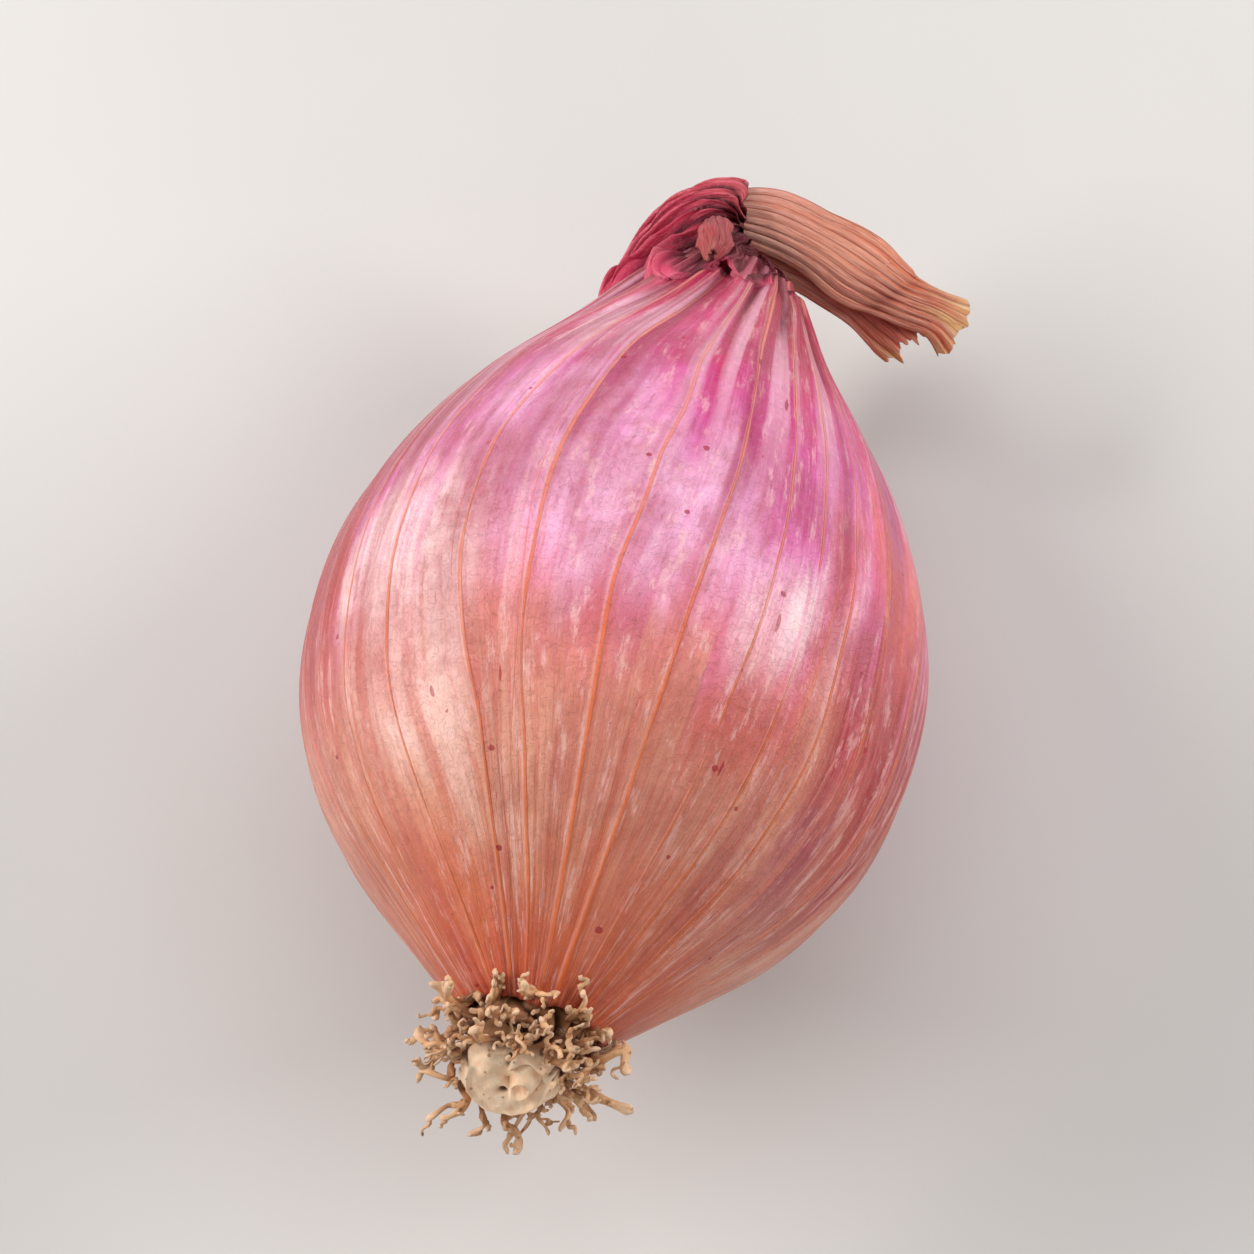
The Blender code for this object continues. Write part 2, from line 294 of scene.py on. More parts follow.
class Web:
    """A node tree with short names for what the finishes do."""

    def __init__(self, tree):
        self.tree = tree

    def put(self, kind, inputs=None, **options):
        """Adds a node. Each input is either linked to a socket or set to a value."""
        node = self.tree.nodes.new("ShaderNode" + kind)
        for option, value in options.items():
            setattr(node, option, value)
        for socket, value in (inputs or {}).items():
            if isinstance(value, bpy.types.NodeSocket):
                self.feed(value, node.inputs[socket])
            else:
                node.inputs[socket].default_value = value
        return node

    def calc(self, operation, *values):
        """Arithmetic on one, two or three numbers."""
        return self.put("Math", dict(enumerate(values)), operation=operation).outputs[0]

    def plus(self, first, second):
        """The first number and the second together."""
        return self.calc("ADD", first, second)

    def minus(self, first, second):
        """The first number less the second."""
        return self.calc("SUBTRACT", first, second)

    def times(self, first, second):
        """The first number times the second."""
        return self.calc("MULTIPLY", first, second)

    def feed(self, value, socket):
        """Links a value into a socket of the shader or of the group's way out."""
        self.tree.links.new(value, socket)

    def field(self, name, vector=False):
        """A number or vector stored at the mesh's points."""
        return self.put("Attribute", attribute_name=name).outputs["Vector" if vector else "Fac"]

    def stretch(self, place, scale):
        """The same pattern place, scaled differently along its three directions."""
        return self.put("VectorMath", {0: place, 1: scale}, operation="MULTIPLY").outputs[0]

    def noise(self, place, scale, detail=3.0, roughness=0.55, distortion=0.0):
        """Cloudy noise, about 0.5 on average."""
        return self.put("TexNoise", {
            "Vector": place, "Scale": scale, "Detail": detail, "Roughness": roughness,
            "Distortion": distortion}).outputs["Fac"]

    def step(self, value, start, end, low=0.0, high=1.0):
        """A soft switch from low to high as the value goes from start to end."""
        inputs = {0: value, 1: start, 2: end, 3: low, 4: high}
        return self.put("MapRange", inputs, interpolation_type="SMOOTHSTEP").outputs[0]

    def mix(self, share, first, second):
        """The first colour, with this share of the second mixed in."""
        first, second = (paint(*c) if isinstance(c, tuple) else c for c in (first, second))
        return self.put("Mix", {0: share, 6: first, 7: second}, data_type="RGBA").outputs[2]

    def over(self, colour, *layers):
        """The colour with layers on it: each is (how much, the tone to mix in)."""
        for share, tone in layers:
            colour = self.mix(share, colour, tone)
        return colour

    def add_up(self, *parts):
        """The weighted sum of a few numbers: each part is (number, weight)."""
        total, *rest = [self.times(*part) for part in parts]
        for part in rest:
            total = self.plus(total, part)
        return total

    def patch(self, place, centre, near, far):
        """1 within a distance of the centre, fading to 0 further out."""
        gap = self.put("VectorMath", {0: place, 1: centre}, operation="DISTANCE")
        return self.step(gap.outputs["Value"], near, far, 1.0, 0.0)

    def ramp(self, value, first, *between, last):
        """Colours in a row: each stop is (place, colour)."""
        node = self.put("ValToRGB", {0: value})
        stops = node.color_ramp.elements
        for stop, (place, colour) in zip(stops, (first, last)):
            stop.position, stop.color = place, paint(*colour)
        for place, colour in between:
            stops.new(place).color = paint(*colour)
        return node.outputs[0]

    def group(self, tree, inputs):
        """Places a shared node group with its own values."""
        return self.put("Group", inputs, node_tree=tree).outputs


def shared_effect(name, inputs, outputs):
    """An empty node group with named sockets. Returns its web, its inputs and its way out."""
    tree = bpy.data.node_groups.new(name, "ShaderNodeTree")
    for label, kind, value in inputs:
        socket = tree.interface.new_socket(label, in_out="INPUT", socket_type="NodeSocket" + kind)
        if value is not None:
            socket.default_value = value
    for label, kind in outputs:
        tree.interface.new_socket(label, in_out="OUTPUT", socket_type="NodeSocket" + kind)
    enter, leave = tree.nodes.new("NodeGroupInput"), tree.nodes.new("NodeGroupOutput")
    return Web(tree), enter.outputs, leave.inputs


def new_finish(name, **constants):
    """A Principled material. The constants are set on the shader's own sockets."""
    made = bpy.data.materials.new(name)
    made.use_nodes = True
    shader = made.node_tree.nodes["Principled BSDF"]
    for socket, value in constants.items():
        shader.inputs[socket.replace("_", " ")].default_value = value
    return made, Web(made.node_tree), shader.inputs


def relief(web, shader, height, depth):
    """Feeds a height map, whose unit is depth metres, into the shader's normal."""
    bump = web.put("Bump", {"Height": height, "Distance": depth, "Strength": 1.0})
    web.feed(bump.outputs[0], shader["Normal"])


# %% [markdown]
# ## Three effects that every dry layer shares
# All of an onion's dry parts are leaves that lost their water, so the same three things show on the
# skin, the neck, the leaf ends and the roots. *Fibres* are fine streaks along the leaf. They come
# from noise that is stretched a lot along one direction. *Papery grain* is the faint crackle of a
# dry film: thin lines where two noise fields have the same value. *Specks* are the small dark
# spots and dashes where the skin was rubbed or bruised: the middles of random cells, of which only
# a few are kept. Each is one node group, and every material places it with its own values.
#
# A fourth group draws *veins*, which only the skin has, but in two sets. It reads a map on which
# every whole number is a vein, and gives the line and, along one side of it, a painted highlight
# where the vein's rib would catch the light.

# %% Shared node groups
web, given, out = shared_effect(
    "dry fibres",
    [("Place", "Vector", None), ("Fineness", "Float", 60.0), ("Length", "Float", 0.05)],
    [("Streaks", "Float"), ("Bands", "Float")],
)
squeeze = web.put("CombineXYZ", {0: 1.0, 1: 1.0, 2: given["Length"]}).outputs[0]
along_leaf = web.stretch(given["Place"], squeeze)
fine = web.noise(along_leaf, given["Fineness"], detail=4.0, roughness=0.65)
broad = web.noise(along_leaf, web.times(given["Fineness"], 0.16), detail=2.0)
web.feed(web.step(fine, 0.32, 0.68), out["Streaks"])
web.feed(web.step(broad, 0.30, 0.70), out["Bands"])
DRY_FIBRES = web.tree

web, given, out = shared_effect(
    "papery grain",
    [("Place", "Vector", None), ("Size", "Float", 900.0)],
    [("Crackle", "Float"), ("Mottle", "Float")],
)
first = web.noise(given["Place"], given["Size"], detail=3.0, distortion=0.6)
second = web.noise(given["Place"], web.times(given["Size"], 0.37), detail=4.0)
line = web.calc("ABSOLUTE", web.minus(first, 0.5))
web.feed(web.step(line, 0.0, 0.035, 1.0, 0.0), out["Crackle"])
web.feed(web.step(second, 0.3, 0.7), out["Mottle"])
PAPERY_GRAIN = web.tree

web, given, out = shared_effect(
    "specks",
    [("Place", "Vector", None), ("Spacing", "Float", 100.0), ("Kept", "Float", 0.2),
     ("Radius", "Float", 0.2)],
    [("Mask", "Float")],
)
ragged = web.noise(given["Place"], web.times(given["Spacing"], 6.0), detail=1.0)
cells = web.put("TexVoronoi", {
    "Vector": given["Place"], "Scale": given["Spacing"], "Randomness": 0.7})
draws = web.put("SeparateXYZ", {0: cells.outputs["Color"]}).outputs
keep = web.calc("LESS_THAN", draws[0], given["Kept"])
size = web.plus(web.times(draws[1], 0.8), 0.1)
reach = web.times(given["Radius"], size)
rim = web.times(reach, web.plus(0.5, ragged))
inside = web.calc("LESS_THAN", cells.outputs["Distance"], rim)
web.feed(web.times(keep, inside), out["Mask"])
SPECKS = web.tree

web, given, out = shared_effect(
    "veins",
    [("Map", "Vector", None), ("Spacing", "Float", 0.004), ("Strength", "Float", 1.0),
     ("Width", "Float", 0.0002)],
    [("Line", "Float"), ("Lit Edge", "Float")],
)
phase = web.put("SeparateXYZ", {0: given["Map"]}).outputs[0]
nearest = web.minus(phase, web.calc("ROUND", phase))
away = web.times(nearest, given["Spacing"])
half = web.times(given["Width"], web.plus(given["Strength"], 0.25))
there = web.step(given["Strength"], 0.06, 0.30)
line = web.step(web.calc("ABSOLUTE", away), web.times(half, 0.3), half, 1.0, 0.0)
# A painted highlight along one side of the vein, where its rib would catch the light.
beside = web.calc("ABSOLUTE", web.minus(away, web.times(half, 1.25)))
lit = web.step(beside, 0.0, web.times(half, 0.8), 1.0, 0.0)
web.feed(web.times(line, there), out["Line"])
web.feed(web.times(lit, there), out["Lit Edge"])
VEIN_LINES = web.tree
print("node groups:", [group.name for group in bpy.data.node_groups])

# %% [markdown]
# ## The veins of the skin
# The skin is a dry leaf that grew round the bulb, and its veins run from the root plate to the
# neck. They are the clearest mark on a shallot, so they come first and everything else follows
# them. Each vein has a number, and *phase* says which vein a point is nearest to: 7 on vein 7, 7.5
# halfway to vein 8. Phase grows smoothly round the bulb, so however it is warped, two veins never
# cross. Here the veins wander a little, kink where the leaf was bruised, and twist as the neck is
# drawn together. A second, thinner set runs between them and comes and goes.

# %% Where the veins run
VEIN_ANGLES = (
    2, 15.5, 30, 42, 52, 61.5, 75, 88.5, 103, 112, 129, 144, 156, 169, 182, 193, 205, 218, 228,
    241, 254, 263, 276, 288, 299, 312, 322, 335, 348,
)
VEINS = len(VEIN_ANGLES)
NECK_TWIST = 0.45  # radians by which the veins turn as the neck is drawn together


def gathered(share, start=0.70):
    """How tightly the skin is drawn together: 0 up to the start, 1 at the end of the neck."""
    return np.clip((share - start) / (1 - start), 0, None) ** 2


def vein_phase(around, share, seed=5):
    """Which vein is nearest: the angle read off the list of vein angles, plus a slow wander, small
    kinks, and the twist of the neck."""
    numbers = np.arange(-1, VEINS + 2)
    angles = np.radians(np.take(VEIN_ANGLES, numbers, mode="wrap")) + TAU * (numbers // VEINS)
    turned = around + NECK_TWIST * gathered(share)
    rounds = np.floor(turned / TAU)
    phase = np.interp(turned - TAU * rounds, angles, numbers) + VEINS * rounds
    wander = 0.32 * ripples(seed, around, share, 4, 1.3)
    return phase + wander + 0.02 * ripples(seed + 1, around, share, 9, 7, 30)


def vein_presence(phase, share, seed, usual):
    """How strong the nearest vein is at this share of the length: each has its own strength, and
    fades in and out along its length."""
    number = np.round(phase) % VEINS
    own = usual + (1 - usual) * chance(number, seed)
    waves, start = 0.7 + chance(number, seed + 2), chance(number, seed + 4)
    beat = 0.5 + 0.5 * np.sin(TAU * (share * waves + start))
    return own * (1 - (1 - usual) * 0.8 * beat)


# %% [markdown]
# ## The skin's shape
# The skin is one closed surface: 720 points round, and rings from the hollow at the roots over the
# belly to the neck. Its radius is the outline plus small reliefs, each a formula in the angle and
# the share of the length: three broad swellings, shallow dents, a low rib on every vein, folds at
# the rim of the root hollow, and pleats that deepen towards the neck. The pleats use the absolute
# value of a sine, which has round tops and sharp valleys, as gathered paper has.
#
# What the finish needs later is stored at the points while it is known: the place on the leaf that
# the fibres follow, how far apart the veins are, how strong they are, and how far the point lies
# inside the brown outer layer and inside the rusty part of it next to the roots. Both are torn or
# stained along the veins, so their edges jump from one vein to the next.

# %% Shape the skin
SKIN_POINTS = 720
SKIN_RINGS = 128
RIB_HEIGHT = 0.05 * MM
RIB_WIDTH = 0.22 * MM


def skin_shape():
    """Rings of (side, station, up) for the skin, and what its finish needs at each point."""
    t = np.linspace(0, 1, SKIN_RINGS)
    shares = 0.6 * t + 0.4 * (0.5 - 0.5 * np.cos(math.pi * t))
    around, share = np.meshgrid(TAU * np.arange(SKIN_POINTS + 1) / SKIN_POINTS, shares)
    phase = vein_phase(around, share)
    side_phase = vein_phase(around, share, seed=9) + 0.5
    radius = bulb_radius(share)
    bulge = np.sin(math.pi * share)
    angle_per_vein = np.gradient(around, axis=1) / np.gradient(phase, axis=1)
    spacing = radius * angle_per_vein
    strength = vein_presence(phase, share, 1.0, 0.55)
    side_strength = vein_presence(side_phase, share, 3.0, 0.0)
    away = (phase - np.round(phase)) * spacing

    neck = gathered(share)
    fold_angle = around + NECK_TWIST * neck
    fold = 8.5 * fold_angle + 0.8 * ripples(21, around, share, 3, 1.0)
    fine_fold = 23 * fold_angle + 1.2 * ripples(22, around, share, 5, 2.0)
    root_fold = 19 * around + 1.5 * ripples(23, around, share, 4, 2.0)
    near_roots = np.exp(-share / 0.035)
    swell = 1 + SHOULDER * bulge * np.sin(3 * around)
    early = gathered(share, 0.55)
    raised = (
        0.13 * MM * bulge * ripples(31, around, share, 4, 2.2)
        + 0.05 * MM * bulge * np.cos(TAU * phase)
        + RIB_HEIGHT * strength * np.exp(-((away / RIB_WIDTH) ** 2)) * (1 - neck)
        + 0.85 * MM * neck * (np.abs(np.sin(fold)) ** 0.7 - 0.75)
        + 0.12 * MM * early * (np.abs(np.sin(fine_fold)) - 0.6)
        + 0.20 * MM * neck**0.7 * (np.abs(np.sin(fine_fold)) - 0.6)
        + 0.20 * MM * near_roots * (np.abs(np.sin(root_fold)) - 0.6)
        - 0.45 * MM * step(0.93, 1.0, share) * step(0.1, 0.8, np.sin(around))
    )
    out = radius * swell + raised
    station = share * BULB_LENGTH - 0.25 * MM * near_roots * ripples(24, around, share, 14, 0.5)
    squash = FLATTENING * bulge
    side = out * np.cos(around) * (1 + squash) + bow(share)
    up = out * np.sin(around) * (1 - squash)
    torn = 0.30 + 0.08 * (1 - np.sin(around)) - share
    torn += 0.14 * (chance(np.round(phase) % VEINS, 7.0) - 0.5)
    rust = 0.10 + 0.03 * np.cos(around) - share
    rust += 0.10 * (chance(np.round(phase) % VEINS, 11.0) - 0.5)
    leaf_angle = TAU * phase / VEINS
    fibre = np.stack([np.cos(leaf_angle), np.sin(leaf_angle), share], -1)
    rings = np.stack([side, station, up], -1)
    # crease marks the valleys of the pleats and fine folds, which the finish darkens as painted
    # shade.
    crease = np.clip(neck**0.6 * (1.0 - np.abs(np.sin(fold))) + 0.5 * early * (
        0.8 - np.abs(np.sin(fine_fold))), 0, 1)
    fields = dict(fibre=fibre, spacing=spacing, vein=strength, side_vein=side_strength,
                  brown_edge=torn, rust_edge=rust, crease=crease)
    return rings, fields, dict(vein_map=(phase, share), side_map=(side_phase, share))


def close_ends(rings, fields, maps):
    """Adds rings that turn the skin inwards at both ends: into the root hollow, and into the neck,
    where the withered leaves come out."""
    first, last = rings[0], rings[-1]
    inner = [np.stack([first[:, 0] * k, np.full(len(first), depth * MM), first[:, 2] * k], -1)
             for k, depth in ((0.15, 1.4), (0.80, 1.3), (0.92, 0.9), (0.975, 0.1))]
    lifted = np.full(len(last), BULB_LENGTH)
    outer = [np.stack([last[:, 0] * k, lifted + lift * MM, last[:, 2] * k], -1)
             for k, lift in ((0.95, 0.2), (0.75, -0.1), (0.2, -0.3))]
    stacked = np.concatenate([np.stack(inner), rings, np.stack(outer)])
    padding = (len(inner), len(outer))

    def pad(grid):
        return np.pad(grid, [padding] + [(0, 0)] * (grid.ndim - 1), mode="edge")

    # The turned-in rings at both ends are marked, so that the finish paints them dark brown as
    # shade.
    hollow = np.pad(np.zeros(rings.shape[:2]), [padding, (0, 0)], constant_values=1.0)
    fields = {name: pad(grid) for name, grid in fields.items()}
    maps = {name: np.stack([pad(grid) for grid in pair], -1) for name, pair in maps.items()}
    return stacked, {**fields, "hollow": hollow}, maps


def rest_on_table(points):
    """Presses what would go through the table level with it, with a soft edge."""
    soft = 0.05 * MM
    points[..., 2] = 0.5 * (points[..., 2] + np.sqrt(points[..., 2] ** 2 + soft**2))
    return points


skin_rings, skin_fields, skin_maps = close_ends(*skin_shape())
skin_points = rest_on_table(lie_down(*np.moveaxis(skin_rings, -1, 0)))[:, :-1]
skin_fields = {name: grid[:, :-1] for name, grid in skin_fields.items()}
skin_mesh = solid("papery_skin", skin_points, skin_fields, skin_maps)
print("skin box, mm:", np.round(1000 * np.ptp(skin_points.reshape(-1, 3), axis=0), 1))

# %% [markdown]
# ## The skin's colours
# The skin is two thin layers seen together. The inner one is full of red pigment: magenta and
# violet towards the neck, pink over the belly. The outer one has dried to a copper brown and is
# left only on the lower half, in strips torn along the veins. Both turn orange brown where they
# grip the root plate, and the outer one is rusty there. So the finish blends two colour ramps that
# run along the length, with the torn edge as the switch between them. Over both it lays areas of
# other tones, from a table of where each lies. Some are the skin's own colours and bleached spots,
# the pale ones on the flanks are painted highlights, and the dark ones at the edges are painted
# shade. Then come the clouds and flecks, pale silky streaks that are partly painted sheen, the
# veins with a painted highlight along one side, painted shade in the pleats and on the turned-in
# ends, and the specks. The sheen itself comes from the shader: dry skin is smooth but uneven,
# which gives broad soft reflections rather than mirrors.

# %% The skin's finish
skin_finish, web, shader = new_finish(
    "pink skin", Coat_Weight=0.30, Coat_Roughness=0.27, Specular_IOR_Level=0.22,
    Subsurface_Weight=0.05, Subsurface_Radius=(0.004, 0.0015, 0.001), Subsurface_Scale=0.5,
)
fibre = web.field("fibre", vector=True)
body = web.put("TexCoord").outputs["Object"]
fibres = web.group(DRY_FIBRES, {"Place": fibre, "Fineness": 34.0, "Length": 0.10})
fine_fibres = web.group(DRY_FIBRES, {"Place": fibre, "Fineness": 110.0, "Length": 0.06})
paper = web.group(PAPERY_GRAIN, {"Place": body, "Size": 1900.0})
clouds = web.noise(body, 95.0, detail=4.0)
leaf_clouds = web.noise(web.stretch(fibre, (1.0, 1.0, 2.2)), 2.4, detail=5.0, roughness=0.6)
share = web.put("SeparateXYZ", {0: fibre}).outputs[2]
uneven = web.times(web.minus(leaf_clouds, 0.5), 0.34)
streaky = web.times(web.minus(fibres["Bands"], 0.5), 0.10)
place = web.plus(web.plus(share, uneven), streaky)

inner_layer = web.ramp(
    place,
    (0.00, (196, 92, 44)),
    (0.14, (206, 104, 84)),
    (0.28, (218, 112, 108)),
    (0.40, (224, 120, 154)),
    (0.50, (230, 132, 186)),
    (0.62, (214, 84, 162)),
    (0.76, (206, 30, 112)),
    (0.88, (192, 18, 80)),
    last=(1.00, (138, 22, 46)),
)
outer_layer = web.ramp(
    web.plus(share, web.times(uneven, 0.7)),
    (0.00, (202, 84, 14)),
    (0.03, (210, 108, 58)),
    (0.07, (214, 136, 98)),
    (0.14, (226, 168, 136)),
    (0.24, (218, 154, 126)),
    (0.34, (220, 138, 120)),
    last=(1.00, (210, 112, 102)),
)
torn_edge = web.plus(web.field("brown_edge"), web.times(uneven, 0.6))
brown = web.times(web.step(torn_edge, -0.035, 0.055), web.step(fibres["Streaks"], -0.6, 1.0))
layers = web.mix(web.times(brown, 0.9), inner_layer, outer_layer)

rusty = web.plus(web.field("rust_edge"), web.times(uneven, 0.35))
layers = web.mix(web.step(rusty, -0.012, 0.02, 0.0, 0.38), layers, (204, 88, 48))

leaf_place = web.stretch(fibre, (1.0, 1.0, 3.0))
warp = web.put("TexNoise", {
    "Vector": web.stretch(fibre, (1.0, 1.0, 0.5)), "Scale": 5.0, "Detail": 4.0}).outputs["Color"]
shifted = web.put("VectorMath", {0: leaf_place, 1: warp}, operation="ADD").outputs[0]

# Some areas are the skin's own tones. The pale ones on the flanks are painted highlights, and the
# dark ones at the edges are painted shade.
SKIN_TONES_AND_PAINTED_LIGHT = (  # tone, how much of it, degrees round the bulb, share of the length, the
    # distances at which it starts to fade and is gone, how much of it is left between its streaks
    ((248, 188, 226), 0.85, 105, 0.585, 0.18, 0.50, 0.45),  # pale: bleached skin, front left, and partly a painted highlight
    ((250, 196, 230), 0.85, 88, 0.47, 0.20, 0.48, 0.4),  # bleached, middle
    ((250, 206, 228), 0.85, 112, 0.78, 0.05, 0.32, 0.1),  # pale: bleached skin near the neck, and partly a painted highlight
    ((250, 216, 212), 0.90, 124, 0.40, 0.15, 0.46, 0.4),  # painted highlight, left flank
    ((244, 204, 188), 0.65, 122, 0.25, 0.05, 0.32, 0.1),  # painted highlight, the lower half of the left flank
    ((250, 228, 226), 0.75, 51, 0.43, 0.08, 0.36, 0.1),  # painted highlight, right flank
    ((148, 34, 44), 0.80, 154, 0.64, 0.28, 0.75, 0.3),  # painted shade: dark crimson at the left shoulder's edge
    ((168, 56, 52), 0.85, 167, 0.43, 0.25, 0.60, 0.3),  # painted shade: brick red along the left edge
    ((196, 44, 126), 0.60, 74, 0.66, 0.10, 0.50, 0.1),  # deep magenta, in front
    ((230, 104, 78), 0.90, 16, 0.50, 0.12, 0.50, 0.1),  # coral, right side
    ((150, 14, 18), 1.00, 5, 0.34, 0.25, 0.75, 0.1),  # painted shade: dark red low on the right edge
    ((206, 92, 52), 0.70, 124, 0.04, 0.15, 0.45, 0.1),  # copper, low on the left
    ((146, 46, 66), 0.85, 27, 0.17, 0.05, 0.38, 0.1),  # purple, low on the right
    ((156, 54, 78), 0.60, 250, 0.50, 0.30, 1.10, 0.1),  # plum, underneath
)
STREAKED_TONES_AND_SHADE = (  # the same, laid over the silky streaks
    ((160, 54, 64), 0.70, 149, 0.64, 0.20, 0.52, 0.6),  # painted shade, left shoulder
    ((166, 56, 48), 0.72, 165, 0.44, 0.15, 0.48, 0.6),  # painted shade, left side
    ((238, 114, 84), 0.60, 18, 0.56, 0.12, 0.45, 0.5),  # right side
)


def change(colour, areas):
    """The colour with each area's tone mixed in, broken up into streaks."""
    for tone, amount, degrees, along, near, far, least in areas:
        angle = math.radians(degrees)
        centre = (math.cos(angle) + 0.5, math.sin(angle) + 0.5, 3 * along + 0.5)
        patch = web.patch(shifted, centre, near, far)
        streaks = web.step(fibres["Streaks"], -0.25, 0.85, least, 1.0)
        mask = web.times(web.times(patch, streaks), amount)
        colour = web.mix(mask, colour, tone)
    return colour


colour = change(layers, SKIN_TONES_AND_PAINTED_LIGHT)
dark_tone = web.mix(web.step(share, 0.25, 0.55), (170, 88, 66), (154, 44, 62))
mottles = web.noise(
    web.stretch(fibre, (1.0, 1.0, 1.4)), 7.0, detail=5.0, roughness=0.7, distortion=0.8)
flecks = web.noise(web.stretch(fibre, (1.0, 1.0, 0.8)), 20.0, detail=5.0, roughness=0.75)
toward_neck = web.step(share, 0.35, 0.60, 0.35, 1.0)
lighter = web.times(
    web.times(fibres["Streaks"], fine_fibres["Streaks"]), web.times(toward_neck, 0.34))
colour = web.over(
    colour,
    (web.times(web.step(clouds, 0.47, 0.62), 0.42), dark_tone),
    (web.step(mottles, 0.50, 0.68, 0.0, 0.32), (182, 82, 72)),
    (web.step(mottles, 0.46, 0.30, 0.0, 0.16), (240, 160, 156)),
    (web.step(flecks, 0.53, 0.66, 0.0, 0.38), dark_tone),
    (web.step(flecks, 0.48, 0.34, 0.0, 0.42), (252, 212, 204)),
    (lighter, (246, 162, 184)),
)
# Pale silky streaks on the upper part: partly the skin's own pale stripes and partly painted sheen.
silk = web.group(DRY_FIBRES, {"Place": fibre, "Fineness": 52.0, "Length": 0.09})
upper_part = web.times(web.step(share, 0.48, 0.76, 0.0, 0.55), web.step(share, 1.0, 0.88, 0.4, 1.0))
silky_streaks_and_sheen = web.times(web.step(silk["Bands"], 0.48, 0.84), upper_part)
colour = web.mix(silky_streaks_and_sheen, colour, (248, 196, 218))
colour = change(colour, STREAKED_TONES_AND_SHADE)
dim = web.times(web.step(fibres["Bands"], 0.42, 0.10), web.step(share, 0.30, 0.62, 0.16, 0.54))
colour = web.over(
    colour,
    (dim, (150, 34, 64)),
    (web.times(paper["Crackle"], 0.08), (242, 160, 150)),
    (web.times(paper["Mottle"], 0.14), (176, 78, 74)),
)

gaps = web.noise(web.stretch(fibre, (1.0, 1.0, 1.6)), 4.5, detail=3.0)
fading = web.step(gaps, 0.38, 0.56, 0.30, 1.0)


def vein_lines(uv_map, strength, width):
    """A set of veins, drawn from its own map: the whole numbers of its first direction."""
    return web.group(VEIN_LINES, {
        "Map": web.put("UVMap", uv_map=uv_map).outputs[0], "Spacing": web.field("spacing"),
        "Strength": strength, "Width": width})


veins = vein_lines("vein_map", web.times(web.field("vein"), fading), 0.15 * MM)
side_veins = vein_lines("side_map", web.field("side_vein"), 0.08 * MM)
vein_colour = web.mix(web.step(share, 0.34, 0.72), (222, 108, 54), (240, 142, 124))
dashes = web.group(SPECKS, {
    "Place": web.stretch(fibre, (1.0, 1.0, 0.9)), "Spacing": 15.0, "Kept": 0.20, "Radius": 0.17})
dots = web.group(SPECKS, {"Place": body, "Spacing": 620.0, "Kept": 0.22, "Radius": 0.16})
marks = web.calc("MAXIMUM", dashes["Mask"], dots["Mask"])
colour = web.over(
    colour,
    # painted highlight beside each vein
    (web.times(veins["Lit Edge"], 0.35), (242, 166, 146)),
    (web.times(veins["Line"], 0.75), vein_colour),
    (web.times(side_veins["Line"], 0.5), vein_colour),
    # painted shade in the valleys of the pleats
    (web.step(web.field("crease"), 0.10, 0.80, 0.0, 0.85), (120, 20, 48)),
    (web.times(marks, 0.75), (160, 26, 44)),
    # painted shade on the turned-in rings at both ends
    (web.field("hollow"), (92, 46, 20)),
)
web.feed(colour, shader["Base Color"])

rough = web.add_up((fibres["Streaks"], 0.12), (paper["Mottle"], 0.10), (brown, 0.06))
web.feed(web.plus(rough, 0.30), shader["Roughness"])
height = web.add_up(
    (fibres["Streaks"], web.times(toward_neck, 0.30)), (fine_fibres["Streaks"], 0.08),
    (paper["Crackle"], 0.26), (paper["Mottle"], 0.70), (flecks, 1.2),
    (veins["Line"], 1.0), (side_veins["Line"], 0.4), (brown, 0.8),
)
relief(web, shader, height, 0.08 * MM)

add_piece("papery_skin", skin_mesh, skin_finish, "pink_skin", "bulb")
print("skin finish:", len(web.tree.nodes), "nodes")

# %% [markdown]
# ## Carrying a shape along a path
# The neck, the leaf ends and the rootlets all follow a bent line. The line is a smooth curve
# through a few points, and at every station of it stands a small cross of two directions: across
# it, and the way it faces. For a leaf, the facing direction is given, because a leaf lies flat. For
# a root it doesn't matter, so the cross is carried on from station to station with as little
# turning as possible, and no tube gets a twist.

# %% Path helpers
LEAF_FACES = np.array([0.0, -0.5, 0.866])  # the side that the leaves and the neck turn up


def unit(vectors):
    """The same directions at length 1."""
    return vectors / np.maximum(np.linalg.norm(vectors, axis=-1, keepdims=True), 1e-12)


def follow(sections, place):
    """The smooth curve through rows of numbers, one row per station, read at places from 0 to 1."""
    table = np.asarray(sections, float)
    keys = np.linspace(0, 1, len(table))
    return np.stack([through(np.stack([keys, column], 1), place) for column in table.T], -1)


def cross_on(path):
    """Two directions at each station of a path: across it, and the way it faces."""
    along = unit(np.gradient(path, axis=0))
    across = unit(np.cross(along, LEAF_FACES))
    return across, np.cross(across, along)


def tubes(paths, radii, sides, flatness):
    """Rings round many lines at once. paths is lines × stations × 3, radii lines × stations. The
    facing direction is carried on by taking out, at each station, its part along the line. The
    flatness is the tube's thickness that way, as a share of its width."""
    along = unit(np.gradient(paths, axis=1))
    facing = np.empty_like(along)
    facing[:, 0] = unit(np.cross(along[:, 0], along[:, 0] + [0.3, 0.5, 0.8]))
    for station in range(1, along.shape[1]):
        carried, ahead = facing[:, station - 1], along[:, station]
        facing[:, station] = unit(carried - (carried * ahead).sum(-1, keepdims=True) * ahead)
    across = np.cross(along, facing)
    turn = TAU * np.arange(sides) / sides
    ring = (np.cos(turn)[:, None] * across[:, :, None] +
            flatness * np.sin(turn)[:, None] * facing[:, :, None])
    return paths[:, :, None] + radii[:, :, None, None] * ring


# %% [markdown]
# ## The withered neck
# Above the bulb the leaves have died back. Their dry bases are gathered, twisted and bent over to
# one side, and the skin is crumpled there like cloth in a fist. It is a tube along a bent path,
# with deep pleats whose valleys are sharp. On the inner side of the bend the tube is too long for
# its path, so it also folds across, like an accordion. Its far end is open: the wall turns in, and
# the leaf ends come out of the dark hollow.

